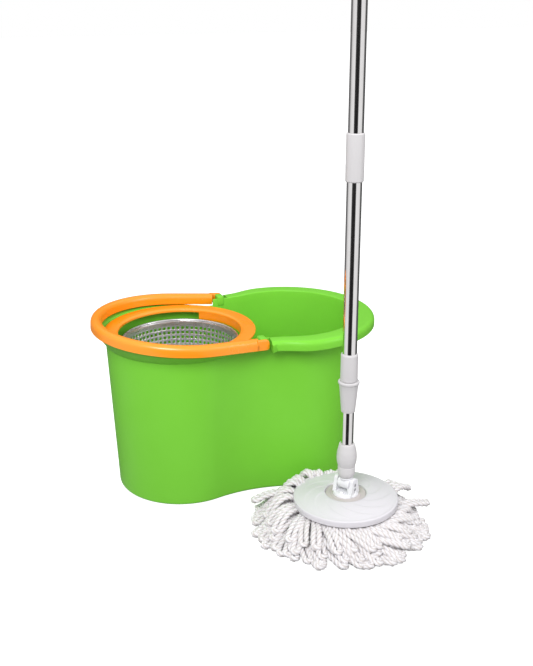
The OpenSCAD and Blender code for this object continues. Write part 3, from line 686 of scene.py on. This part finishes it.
def makeBasket():
    size = basketSize
    slope = (size["wallTop"] - size["wallFoot"]) / (size["top"] - 174)

    def wallR(z):
        return size["wallFoot"] + (z - 174) * slope

    path = [Vector((size["wallTop"] + 0.9, size["top"])), Vector((wallR(241), 241)),
            Vector((wallR(238.5), 238.5))]
    path += [Vector((wallR(z), z)) for z in
             [size["firstRow"] - size["pitch"] * step for step in range(size["rows"] + 1)]]
    lowRow = size["firstRow"] - size["pitch"] * size["rows"]
    path += arcPoints((size["wallFoot"] - size["corner"], size["floor"] + size["corner"]), size["corner"],
                      size["corner"], 0, -90, 6)
    path += [Vector((radius, size["floor"])) for radius in (68.5, 61.5, 54.5, 47.5, 36, 26, 13.9)]
    bm = bmesh.new()
    spinLine(bm, path, size["columns"])
    bmesh.ops.remove_doubles(bm, verts=bm.verts, dist=0.01)
    holes = []
    for face in bm.faces:
        centre = face.calc_center_median()
        reach = centre.xy.length
        if lowRow < centre.z < size["firstRow"]:
            holes.append(face)
        elif centre.z < size["floor"] + 0.1 and 47.5 < reach < 68.5:
            holes.append(face)
    bmesh.ops.inset_individual(bm, faces=holes, thickness=size["frame"], use_even_offset=True)
    bmesh.ops.delete(bm, geom=holes, context="FACES")
    bmesh.ops.recalc_face_normals(bm, faces=bm.faces)
    bowl = finishPiece(bm, "basketBowl", "basket", finishes["sheet"], at=basketAxis,
                       stands=("basket_bowl",), crease=50, turnFaces=False)
    sheet = bowl.modifiers.new("sheet", "SOLIDIFY")
    sheet.thickness = size["sheet"] * 0.001
    sheet.offset = 0
    bm = bmesh.new()
    middle = size["rim"] - size["roll"]
    roll = arcPoints((middle, size["rimTop"] - size["roll"]), size["roll"], size["roll"], 0, 330, 11)
    spinLine(bm, roll, 144, closed=True)
    finishPiece(bm, "basketRim", "basket", finishes["sheet"], at=basketAxis)
    bm = bmesh.new()
    flange = roundedPath([(0, 160.2, 0), (46, 160.2, 1.2), (46, 164.5, 1.2), (13.5, 164.5, 1.0),
                          (13.5, 195, 0.4),
                          (13.1, 195.3, 0.2), (13.5, 195.6, 0.3), (13.5, 198, 0)], 3, closed=False)
    dome = arcPoints((0, 198), 13.5, 5, 0, 90, 8)
    spinLine(bm, flange + dome[1:], 72)
    for index in range(6):
        before = set(bm.verts)
        roundedBlock(bm, (11.4, -1.1, 168), (15.4, 1.1, 192), 0.6, 2)
        spin = Matrix.Rotation(math.radians(60 * index + 30), 3, "Z")
        bmesh.ops.rotate(bm, verts=list(set(bm.verts) - before), cent=(0, 0, 0), matrix=spin)
    finishPiece(bm, "basketHub", "basket", finishes["grey"], at=basketAxis,
                stands=("basket_hub", "hub_cap"), crease=40)


makeBasket()
print("basket is hung")


# ---- bail handle ----

bailSize = dict(inner=123.99, width=17, height=17, wall=2.4, armLean=8.5, pivotReach=101, pivot=(10, 0, 264),
                tilt=3.6, cheek=90.8, armEnd=108, skin=5, stud=3.5)


def makeBail():
    size = bailSize
    wide = size["width"]
    outer = size["inner"] + wide
    half = size["height"] / 2
    section = [(0, -half, 0.8), (0, half, 7.5), (wide, half, 7.5), (wide, -half, 0.8),
               (wide - size["wall"], -half, 0.6), (wide - size["wall"], half - size["wall"], 5.8),
               (size["wall"], half - size["wall"], 5.8), (size["wall"], -half, 0.6)]
    path = [Vector((size["inner"] + point.x, point.y)) for point in roundedPath(section, 6)]
    bm = bmesh.new()
    last = spinSolid(bm, path, 44, 180, -(90 + size["armLean"]))
    lean = math.radians(size["armLean"])
    along = Vector((math.cos(lean), -math.sin(lean), 0))
    across = Vector((math.sin(lean), math.cos(lean), 0))
    armStart = outer * math.sin(lean)
    for step in range(3):
        last, verts = pushFaces(bm, last, along * (size["cheek"] - armStart) / math.cos(lean) / 3)
    # the outer skin runs on alone past the pivot
    skin = roundedPath([(wide - size["skin"], -half, 0.6), (wide, -half, 0.8), (wide, half, 8.0),
                        (wide - size["skin"], half - 0.6, 0)], 6)
    start = Vector((armStart, outer * math.cos(lean), 0)) - across * wide
    start += along * ((size["cheek"] - armStart) / math.cos(lean) - 3)
    face = bm.faces.new([bm.verts.new(start + across * point.x + Vector((0, 0, point.y))) for point in skin])
    length = (size["armEnd"] - size["cheek"]) / math.cos(lean) + 3
    faces = [face]
    for push, shrink in ((length - 5, 1.0), (2.0, 0.97), (1.6, 0.9), (0.9, 0.8), (0.5, 0.66)):
        faces, verts = pushFaces(bm, faces, along * push)
        centre = sum((vert.co for vert in verts), Vector()) / len(verts)
        for vert in verts:
            vert.co.z = centre.z + (vert.co.z - centre.z) * shrink
    # stud into the boss
    stud = bmesh.ops.create_cone(bm, cap_ends=True, segments=32, radius1=size["stud"],
                                 radius2=size["stud"], depth=20)
    bmesh.ops.rotate(bm, verts=stud["verts"], cent=(0, 0, 0),
                     matrix=Matrix.Rotation(math.radians(90), 3, "X"))
    bmesh.ops.translate(bm, verts=stud["verts"], vec=(size["pivotReach"], 114, 0))
    # mirror the half across the middle plane
    bmesh.ops.remove_doubles(bm, verts=bm.verts, dist=0.005)
    caps = [face for face in bm.faces if all(abs(vert.co.y) < 0.01 for vert in face.verts)]
    bmesh.ops.delete(bm, geom=caps, context="FACES")
    twin = bmesh.ops.duplicate(bm, geom=list(bm.verts) + list(bm.edges) + list(bm.faces))["geom"]
    twinVerts = [item for item in twin if isinstance(item, bmesh.types.BMVert)]
    bmesh.ops.scale(bm, verts=twinVerts, vec=(1, -1, 1))
    place = Matrix.Translation(size["pivot"]) @ Matrix.Rotation(math.radians(size["tilt"]), 4, "Y")
    place = place @ Matrix.Translation((-size["pivotReach"], 0, 0))
    bmesh.ops.transform(bm, verts=bm.verts, matrix=place)
    return finishPiece(bm, "bailLoop", "bail", finishes["orange"], stands=("bail_handle",),
                       crease=44)


makeBail()
print("bail is folded down")


# ---- mop plate, disc and hinge ----

plateSize = dict(radius=80, low=34.4, top=50.4, recess=31.4, seat=44.4, rise=8, arms=11,
                 armSweep=1.05, step=0.55, bead=0.9)


def makePlate():
    size = plateSize
    bm = bmesh.new()
    top = [Vector((10, size["seat"])), Vector((size["recess"], size["seat"])),
           Vector((size["recess"], size["top"] - 0.5)), Vector((size["recess"] + 0.5, size["top"]))]
    for step in range(1, 27):
        radius = size["recess"] + 1.6 + (75.2 - size["recess"] - 1.6) * step / 26
        share = (radius - size["recess"]) / (80 - size["recess"])
        top.append(Vector((radius, size["top"] - 7.2 * share ** 1.7)))
    edge = roundedPath([(75.6, 43.6, 0), (77.0, 43.5 + size["bead"], 0.8), (80, 43.2, 1.6),
                        (80, size["low"], 0.7),
                        (77.2, size["low"], 0.6), (77.0, 40.0, 1.5), (60, 43.0, 0), (27, 41.4, 0),
                        (10, 41.4, 0)],
                       4, closed=False)
    spinLine(bm, top + edge[1:], 264, closed=True)
    bmesh.ops.remove_doubles(bm, verts=bm.verts, dist=0.01)
    # low overlapping petals that curl outwards
    for vert in bm.verts:
        radius = vert.co.xy.length
        share = (radius - 33.5) / (73.5 - 33.5)
        if not 0 < share < 1 or vert.co.z < 42.4:
            continue
        curl = math.atan2(vert.co.y, vert.co.x) - size["armSweep"] * share ** 1.25
        phase = (curl * size["arms"] / (2 * math.pi)) % 1
        ramp = phase / 0.94 if phase < 0.94 else (1 - phase) / 0.06
        fade = min(1, share / 0.12) * min(1, (1 - share) / 0.2)
        vert.co.z += size["step"] * (ramp - 0.5) * fade
    finishPiece(bm, "mopPlate", "mop_head", finishes["plate"], at=mopAxis,
                stands=("head_plate",), crease=50)
    bm = bmesh.new()
    socket = roundedPath([(27.6, 14, 0.6), (30.6, 14, 0.6), (30.6, 43, 0), (27.6, 43, 0)], 3)
    spinLine(bm, socket, 96, closed=True)
    finishPiece(bm, "plateSocket", "mop_head", finishes["white"], at=mopAxis)
    bm = bmesh.new()
    disc = roundedPath([(0, 48.4, 0), (21.5, 48.4, 0.4), (22.2, 47.9, 0.3), (23.4, 47.9, 0.3),
                        (24.1, 48.6, 0.4),
                        (30.9, 48.9, 0.9), (30.9, 44.5, 0.3), (0, 44.5, 0)], 4, closed=False)
    spinLine(bm, disc, 120)
    finishPiece(bm, "pivotDisc", "mop_head", finishes["warmGrey"], at=mopAxis,
                stands=("hub_disc",))


hingeSize = dict(yaw=-58, pinHeight=66.3, baseTop=54.3, baseLow=48.4, ears=(11.3, 17), earRadius=9.6,
                 feet=((-27, 15, 54.6), (-87, 8, 52), (93, 8, 52), (153, 15, 54.6)))


def makeHinge():
    size = hingeSize
    pin = size["pinHeight"]
    bm = bmesh.new()
    base = roundedPath([(0, size["baseTop"] - 1.2, 0), (17.6, size["baseTop"] - 1.2, 2.2),
                        (19.6, size["baseLow"], 0.3),
                        (0, size["baseLow"], 0)], 4, closed=False)
    spinLine(bm, base, 72)
    # two A-shaped ears with an open window under the pin
    for side in (-1, 1):
        outline = roundedPath([(-11.4, size["baseTop"] - 3, 0), (-7.4, pin + 2, 3),
                               (-6.6, pin + size["earRadius"], 6.2),
                               (6.6, pin + size["earRadius"], 6.2), (7.4, pin + 2, 3),
                               (11.4, size["baseTop"] - 3, 0)], 6)
        front = side * size["ears"][1]
        face = bm.faces.new([bm.verts.new((front, point.x, point.y)) for point in outline])
        window = roundedPath([(-3.6, size["baseTop"] + 0.6, 1.2), (3.6, size["baseTop"] + 0.6, 1.2),
                              (1.8, pin - 4.8, 1.2), (-1.8, pin - 4.8, 1.2)], 4)
        hole = [bm.verts.new((front, point.x, point.y)) for point in window]
        ring = [bm.edges.new((hole[index - 1], hole[index])) for index in range(len(hole))]
        rim = list(face.edges)
        bmesh.ops.delete(bm, geom=[face], context="FACES_ONLY")
        filled = bmesh.ops.triangle_fill(bm, edges=rim + ring, use_beauty=True)["geom"]
        faces = [item for item in filled if isinstance(item, bmesh.types.BMFace)]
        inside = [item for item in faces if abs(item.calc_center_median().y) < 1.6
                  and size["baseTop"] + 0.8 < item.calc_center_median().z < pin - 5]
        keep = [item for item in faces if item not in inside]
        if inside:
            bmesh.ops.delete(bm, geom=inside, context="FACES_ONLY")
        pushFaces(bm, keep, Vector((side * (size["ears"][0] - size["ears"][1]), 0, 0)))
    # splayed feet; the two in the handle's way when it folds are low
    for turn, tall, middle in size["feet"]:
        before = set(bm.verts)
        made = bmesh.ops.create_cone(bm, cap_ends=True, segments=20, radius1=4.6, radius2=3.4,
                                     depth=tall)["verts"]
        sharp = {edge for vert in made for edge in vert.link_edges if edge.calc_face_angle(0) > 1}
        bmesh.ops.bevel(bm, geom=list(sharp), offset=1.4, segments=3, profile=0.5, affect="EDGES",
                        material=-1)
        fresh = list(set(bm.verts) - before)
        bmesh.ops.rotate(bm, verts=fresh, cent=(0, 0, 0), matrix=Matrix.Rotation(math.radians(-24), 3, "Y"))
        bmesh.ops.translate(bm, verts=fresh, vec=(13.2, 0, middle))
        bmesh.ops.rotate(bm, verts=fresh, cent=(0, 0, 0), matrix=Matrix.Rotation(math.radians(turn), 3, "Z"))
    bmesh.ops.rotate(bm, verts=bm.verts, cent=(0, 0, 0),
                     matrix=Matrix.Rotation(math.radians(size["yaw"]), 3, "Z"))
    block = finishPiece(bm, "hingeBlock", "mop_head", finishes["white"], at=mopAxis,
                        stands=("hinge_block",), crease=30)
    edgeRound = block.modifiers.new("edgeRound", "BEVEL")
    edgeRound.width = 0.0008
    edgeRound.segments = 2
    edgeRound.limit_method = "ANGLE"
    edgeRound.angle_limit = math.radians(50)
    bm = bmesh.new()
    # barrel on the pin and the neck that goes up into the socket
    barrel = roundedPath([(0, -10.5, 0), (9.5, -10.5, 1.4), (9.5, 10.5, 1.4), (0, 10.5, 0)], 4, closed=False)
    spinLine(bm, barrel, 56)
    bmesh.ops.rotate(bm, verts=bm.verts, cent=(0, 0, 0), matrix=Matrix.Rotation(math.radians(90), 3, "Y"))
    bmesh.ops.translate(bm, verts=bm.verts, vec=(0, 0, pin))
    neck = roundedPath([(0, pin + 2, 0), (8.4, pin + 2, 0), (8.4, 73.5, 1.0), (10.4, 74.5, 1.0),
                        (10.4, 76.6, 0.8),
                        (0, 76.6, 0)], 3, closed=False)
    spinLine(bm, neck, 56)
    bmesh.ops.rotate(bm, verts=bm.verts, cent=(0, 0, 0),
                     matrix=Matrix.Rotation(math.radians(size["yaw"]), 3, "Z"))
    finishPiece(bm, "poleKnuckle", "lower_pole", finishes["white"], at=mopAxis,
                stands=("pole_knuckle",))


makePlate()
makeHinge()
print("mop plate and hinge are set")


# ---- yarn ----

yarnSize = dict(strand=4.15, plies=3, bulge=0.12, twistPitch=25, sides=12, rings=58, start=62, gap=4.5,
                sweep=36,
                level=7.7, droop=6.0,
                layers=((43, 0), (41, 4), (38, 11), (33, 20)),
                reaches=((0, 113), (40, 112), (75, 112), (110, 122), (140, 136), (165, 146), (200, 144),
                         (250, 137),
                         (290, 134), (325, 124), (360, 113)))


def reachAt(bearing):
    spots = yarnSize["reaches"]
    turn = bearing % 360
    for (low, near), (high, far) in zip(spots, spots[1:]):
        if low <= turn <= high:
            return near + (far - near) * (turn - low) / (high - low)
    return spots[0][1]


def plainStrand():
    # a straight tube of rings, bent later into each loop of yarn
    bm = bmesh.new()
    ringMark = bm.verts.layers.int.new("ring")
    sideMark = bm.verts.layers.int.new("side")
    edges = []
    for index, vert in enumerate(bmesh.ops.create_circle(bm, segments=yarnSize["sides"], radius=1)["verts"]):
        vert[sideMark] = index
    edges = list(bm.edges)
    for ring in range(1, yarnSize["rings"]):
        made = bmesh.ops.extrude_edge_only(bm, edges=edges)["geom"]
        edges = [item for item in made if isinstance(item, bmesh.types.BMEdge)]
        for item in made:
            if isinstance(item, bmesh.types.BMVert):
                item[ringMark] = ring
                item.co.z = ring
    bmesh.ops.holes_fill(bm, edges=[edge for edge in bm.edges if edge.is_boundary], sides=0)
    bmesh.ops.recalc_face_normals(bm, faces=bm.faces)
    return bm, ringMark, sideMark


def loopLine(bearing, reach, height, sweep, droop, hump, sway):
    # out along one side, round the looped end and back along the other
    size = yarnSize
    start = size["start"]
    ends = reach - size["gap"]

    def centre(radius):
        share = (radius - start) / (ends - start)
        turn = math.radians(bearing) + math.tan(math.radians(sweep)) * math.log(radius / start)
        turn += sway * math.sin(share * 4.2)
        return Vector((radius * math.cos(turn), radius * math.sin(turn)))

    def upAt(radius):
        share = min(1, max(0, (radius - start) / (ends - start)))
        fall = min(1, max(0, (share - 0.5) / 0.5))
        swell = math.sin(math.pi * min(1, max(0, (share - 0.15) / 0.85)))
        return max(size["strand"] + 0.2, height + hump * swell - droop * fall * fall)

    out, home = [], []
    for step in range(25):
        radius = start + (ends - start) * step / 24
        here = centre(radius)
        along = (centre(radius + 0.5) - centre(radius - 0.5)).normalized()
        side = Vector((-along.y, along.x))
        spread = size["gap"] * (0.66 + 0.34 * step / 24)
        out.append(Vector((*(here - side * spread), upAt(radius))))
        home.append(Vector((*(here + side * spread), upAt(radius) + 1.6 * (1 - step / 24))))
    tip = [Vector((*(here + along * size["gap"] * math.sin(turn) - side * size["gap"] * math.cos(turn)),
                   upAt(ends)))
           for turn in (0.45, 0.9, 1.35, 1.8, 2.25, 2.7)]
    return out + tip + home[::-1]


def evenPoints(line, count):
    lengths = [0]
    for before, after in zip(line, line[1:]):
        lengths.append(lengths[-1] + (after - before).length)
    points, spot = [], 0
    for step in range(count):
        want = lengths[-1] * step / (count - 1)
        while spot < len(line) - 2 and lengths[spot + 1] < want:
            spot += 1
        share = (want - lengths[spot]) / (lengths[spot + 1] - lengths[spot])
        points.append(line[spot].lerp(line[spot + 1], share))
    return points, lengths[-1]


def bendStrand(target, pattern, line, twist, thick, tint):
    bm, ringMark, sideMark = pattern
    size = yarnSize
    points, length = evenPoints(line, size["rings"])
    strand = bm.copy()
    ringMark = strand.verts.layers.int["ring"]
    sideMark = strand.verts.layers.int["side"]
    frames = []
    up = Vector((0, 0, 1))
    for index, point in enumerate(points):
        along = (points[min(index + 1, len(points) - 1)] - points[max(index - 1, 0)]).normalized()
        up = (up - along * up.dot(along)).normalized()
        frames.append((point, up, along.cross(up)))
    pitch = 2 * math.pi * length / (size["rings"] - 1) / size["twistPitch"]
    for vert in strand.verts:
        ring = vert[ringMark]
        point, up, across = frames[ring]
        local = 2 * math.pi * vert[sideMark] / size["sides"]
        swell = 1 + size["bulge"] * math.cos(size["plies"] * local) + 0.05 * math.sin(ring * 1.7 + twist * 3)
        turn = local + twist + pitch * ring
        vert.co = point + (up * math.cos(turn) + across * math.sin(turn)) * thick * swell
    wrap = strand.loops.layers.uv.new("yarn")
    shade = strand.verts.layers.float.new("tint")
    for vert in strand.verts:
        vert[shade] = tint
    for face in strand.faces:
        seam = len({loop.vert[sideMark] for loop in face.loops}) == 2 and \
            max(loop.vert[sideMark] for loop in face.loops) == size["sides"] - 1 and \
            min(loop.vert[sideMark] for loop in face.loops) == 0
        for loop in face.loops:
            side = loop.vert[sideMark]
            if seam and side == 0:
                side = size["sides"]
            loop[wrap].uv = (side / size["sides"], loop.vert[ringMark] * length / (size["rings"] - 1) / 10)
        face.smooth = True
    holder = bpy.data.meshes.new("strand")
    strand.to_mesh(holder)
    strand.free()
    target.from_mesh(holder)
    bpy.data.meshes.remove(holder)


def yarnFinish():
    material = bpy.data.materials.new("microfibreYarn")
    tree = nodeTree(material)
    shader = shaderOf(tree, **{"Roughness": 0.92, "Specular IOR Level": 0.1, "Sheen Weight": 0.2,
                               "Sheen Roughness": 0.5})
    own = addNode(tree, "ShaderNodeUVMap", uv_map="yarn")
    split = addNode(tree, "ShaderNodeSeparateXYZ")
    wire(tree, own.outputs[0], split.inputs[0])
    # painted shade: the valleys between the plies are painted a darker beige, the crowns pale
    ply = addNode(tree, "ShaderNodeMath", operation="MULTIPLY")
    ply.inputs[1].default_value = 2 * math.pi * yarnSize["plies"]
    wave = addNode(tree, "ShaderNodeMath", operation="COSINE")
    plyShadeMask = addNode(tree, "ShaderNodeMapRange")
    plyShadeMask.inputs["From Min"].default_value = -1.0
    plyShadeMask.inputs["From Max"].default_value = 0.6
    wire(tree, split.outputs["X"], ply.inputs[0])
    wire(tree, ply.outputs[0], wave.inputs[0])
    wire(tree, wave.outputs[0], plyShadeMask.inputs["Value"])
    ramp = addNode(tree, "ShaderNodeValToRGB")
    rampStops(ramp, [(0.0, (0.58, 0.535, 0.525)), (0.4, (0.735, 0.715, 0.725)), (1.0, (0.775, 0.76, 0.79))])
    wire(tree, plyShadeMask.outputs["Result"], ramp.inputs["Fac"])
    # each loop has its own slight shade
    loopTint = addNode(tree, "ShaderNodeAttribute", attribute_name="tint")
    dull = addNode(tree, "ShaderNodeMix", data_type="RGBA")
    dull.inputs["B"].default_value = (0.63, 0.58, 0.565, 1)
    wire(tree, loopTint.outputs["Fac"], dull.inputs["Factor"])
    wire(tree, ramp.outputs["Color"], dull.inputs["A"])
    wire(tree, dull.outputs["Result"], shader.inputs["Base Color"])
    # fibres that lie aslant along each ply, and loose fluff
    place = addNode(tree, "ShaderNodeMapping")
    place.inputs["Rotation"].default_value = (0, 0, 0.6)
    place.inputs["Scale"].default_value = (18, 2.5, 1)
    fibre = addNode(tree, "ShaderNodeTexNoise")
    fibre.inputs["Scale"].default_value = 3
    fibre.inputs["Detail"].default_value = 5
    fluff = addNode(tree, "ShaderNodeTexNoise")
    fluff.inputs["Scale"].default_value = 900
    fluff.inputs["Detail"].default_value = 4
    both = addNode(tree, "ShaderNodeMath", operation="ADD")
    wire(tree, own.outputs[0], place.inputs["Vector"])
    wire(tree, place.outputs[0], fibre.inputs["Vector"])
    wire(tree, objectPoint(tree), fluff.inputs["Vector"])
    wire(tree, fibre.outputs["Fac"], both.inputs[0])
    wire(tree, fluff.outputs["Fac"], both.inputs[1])
    addBump(tree, shader, both.outputs[0], 0.55, 0.0009)
    return material


finishes["yarn"] = yarnFinish()


def makeYarn():
    size = yarnSize
    pattern = plainStrand()
    piles = [bmesh.new(), bmesh.new()]
    for level, (count, short) in enumerate(size["layers"]):
        for index in range(count):
            bearing = 360 * (index + 0.5 * level) / count + random.uniform(-1.6, 1.6)
            sweep = size["sweep"] + 12 * math.cos(math.radians(bearing - 285)) + random.uniform(-4, 4)
            ends = bearing + math.degrees(math.tan(math.radians(sweep)) * math.log(1.9))
            reach = reachAt(ends) - short + random.uniform(-5, 4)
            away = math.radians(ends - 125)
            heap = max(0, math.cos(away)) ** 2
            height = size["strand"] + 0.3 + size["level"] * level + random.uniform(-0.7, 0.7)
            hump = 7 * level * heap + random.uniform(-0.4, 0.8) * (level > 0)
            line = loopLine(bearing, reach, height, sweep, size["droop"] * min(level, 1.5), hump,
                            random.uniform(-0.05, 0.05))
            bendStrand(piles[0 if level < 2 else 1], pattern, line, random.uniform(0, 6.3),
                       size["strand"] * random.uniform(0.95, 1.06), random.uniform(0, 0.25))
    # a few loops that stand clear of the rest
    for bearing, reach, height, hump in ((352, 124, 27, 7), (2, 117, 25, 10), (330, 134, 20, 2),
                                         (128, 143, 30, 6)):
        line = loopLine(bearing, reach, height, 30, 4, hump, 0.04)
        bendStrand(piles[1], pattern, line, random.uniform(0, 6.3), size["strand"], 0.1)
    pattern[0].free()
    lower = finishPiece(piles[0], "yarnLower", "mop_head", finishes["yarn"], at=mopAxis,
                        stands=("yarn_ring",), crease=180, weld=0.0001, turnFaces=False)
    upper = finishPiece(piles[1], "yarnUpper", "mop_head", finishes["yarn"], at=mopAxis,
                        stands=("yarn_ring",), crease=180, weld=0.0001, turnFaces=False)
    return lower, upper


makeYarn()
print("yarn is laid")


# ---- handle ----

poleParts = [
    # name, body, finish, slot, stands for, corners of the outside from the foot up
    ("lowerSocket", "lower_pole", "grey", "grey_plastic", "lower_socket",
     [(9.3, 76.8, 0), (10.6, 77.6, 0.8), (12.4, 81.5, 2.5), (13.2, 85.5, 3), (13.2, 94.6, 0.5),
      (12.7, 95.0, 0.2),
      (12.9, 95.5, 0.3), (13.7, 98.0, 2), (15.0, 103.5, 8), (15.4, 110.5, 12), (14.7, 119, 12),
      (12.7, 127.5, 8),
      (11.6, 131.8, 0.8), (9.25, 131.8, 0)]),
    ("innerTube", "lower_pole", "tube", "chrome_tube", "inner_tube",
     [(8.4, 100.8, 0), (9.2, 100.8, 0.1), (9.2, 455.8, 0.3), (8.4, 455.8, 0)]),
    ("lockSleeve", "lock", "grey", "grey_plastic", "lock_sleeve",
     [(9.5, 184.8, 0.2), (10.4, 184.8, 1.0), (10.9, 189.8, 2), (13.6, 221.8, 6), (14.6, 228.8, 2.5),
      (15.8, 230.3, 0.8),
      (15.8, 232.8, 0.8), (14.8, 233.8, 0.4), (9.5, 233.8, 0)]),
    ("lockCollar", "upper_pole", "grey", "grey_plastic", "lock_collar",
     [(10.85, 234.2, 0), (12.3, 234.2, 0.8), (12.9, 235.6, 1), (12.6, 274.2, 2), (11.6, 276.8, 0.8),
      (10.85, 276.8, 0)]),
    ("middleTube", "upper_pole", "tube", "chrome_tube", "outer_tube",
     [(10.0, 205.8, 0), (10.8, 205.8, 0.2), (10.8, 545.8, 0.3), (10.0, 545.8, 0)]),
    ("jointSleeve", "upper_pole", "grey", "grey_plastic", "coupling_sleeve",
     [(10.85, 529.8, 0), (12.2, 529.8, 0.6), (13.0, 531.2, 0.8), (13.0, 595.4, 0.8), (12.0, 596.8, 0.6),
      (10.85, 596.8, 0)]),
    ("topTube", "upper_pole", "tube", "chrome_tube", "top_tube",
     [(10.0, 550.8, 0), (10.8, 550.8, 0.3), (10.8, 1040.8, 0.3), (10.0, 1040.8, 0)]),
]


def makePole():
    for name, body, finish, slotName, stands, corners in poleParts:
        bm = bmesh.new()
        spinLine(bm, roundedPath(corners, 4, closed=False), 96, closed=True)
        if name == "jointSleeve":
            # shallow flats down the sleeve
            for vert in bm.verts:
                reach = vert.co.xy.length
                if reach > 12.5:
                    turn = math.atan2(vert.co.y, vert.co.x) * 6 / math.pi
                    vert.co.xy *= 1 - 0.012 * abs(math.cos(turn * math.pi))
        finishPiece(bm, name, body, finishes[finish], at=mopAxis, stands=(stands,), crease=35)


gripSize = dict(low=920.8, high=1040.8, bore=10.9, radius=13.5, ribs=14)


def makeGrip():
    size = gripSize
    corners = [(size["bore"], size["low"], 0), (12.9, size["low"], 1.0), (13.6, size["low"] + 4, 1.0)]
    pitch = (size["high"] - size["low"] - 22) / size["ribs"]
    for rib in range(size["ribs"]):
        foot = size["low"] + 10 + rib * pitch
        swell = 0.7 * math.sin(math.pi * (rib + 0.5) / size["ribs"])
        corners += [(size["radius"] + swell - 0.7, foot + 0.6, 0.5),
                    (size["radius"] + swell + 0.1, foot + 1.8, 1.0),
                    (size["radius"] + swell + 0.1, foot + pitch - 1.2, 1.0)]
    corners += [(13.4, size["high"] - 8, 1.0), (13.4, size["high"] - 1, 0.8), (12.6, size["high"], 0.4),
                (size["bore"], size["high"], 0)]
    bm = bmesh.new()
    spinLine(bm, roundedPath(corners, 3, closed=False), 80, closed=True)
    finishPiece(bm, "handGrip", "upper_pole", finishes["grey"], at=mopAxis,
                stands=("handle_grip",))
    # end cap: a round plug with a tongue and a hanging hole
    bm = bmesh.new()
    plug = roundedPath([(0, 1018, 0), (9.9, 1018, 0.6), (9.9, 1041, 0.2), (13.4, 1041, 0.8),
                        (13.4, 1051.5, 1.4),
                        (0, 1053, 0)], 3, closed=False)
    spinLine(bm, plug, 72)
    centre = 1067.2
    outline = arcPoints((0, centre), 13.1, 13.1, -20, 200, 32)
    outline += [Vector((-13.0, 1050)), Vector((13.0, 1050))]
    ring = arcPoints((0, centre), 6, 6, 0, 337.5, 15)
    outer = [bm.verts.new((point.x, -5.5, point.y)) for point in outline]
    inner = [bm.verts.new((point.x, -5.5, point.y)) for point in ring]
    edges = [bm.edges.new((outer[index - 1], outer[index])) for index in range(len(outer))]
    edges += [bm.edges.new((inner[index - 1], inner[index])) for index in range(len(inner))]
    filled = bmesh.ops.triangle_fill(bm, edges=edges, use_beauty=True)["geom"]
    faces = [item for item in filled if isinstance(item, bmesh.types.BMFace)]
    inside = [face for face in faces if (face.calc_center_median() - Vector((0, -5.5, centre))).length < 5.4]
    if inside:
        bmesh.ops.delete(bm, geom=inside, context="FACES_ONLY")
    pushFaces(bm, [face for face in faces if face.is_valid], Vector((0, 11, 0)))
    cap = finishPiece(bm, "hangCap", "upper_pole", finishes["grey"], at=mopAxis,
                      stands=("end_cap",), crease=30)
    edgeRound = cap.modifiers.new("edgeRound", "BEVEL")
    edgeRound.width = 0.0009
    edgeRound.segments = 2
    edgeRound.limit_method = "ANGLE"
    edgeRound.angle_limit = math.radians(50)


makePole()
makeGrip()
print("handle is up")

for nodeName, finish in dict(
        spindle="turned", spindle_clip="turned", spindle_bush="bronze", hub_screw_1="turned",
        hub_screw_2="turned",
        hub_screw_3="turned", refill_ring="white", hinge_pin="turned", head_screw="turned",
        socket_rivet="turned",
        drive_nut="grey", guide_bush="white", drive_strip="turned", strip_anchor="grey").items():
    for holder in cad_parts[nodeName].material_slots:
        holder.material = finishes[finish]
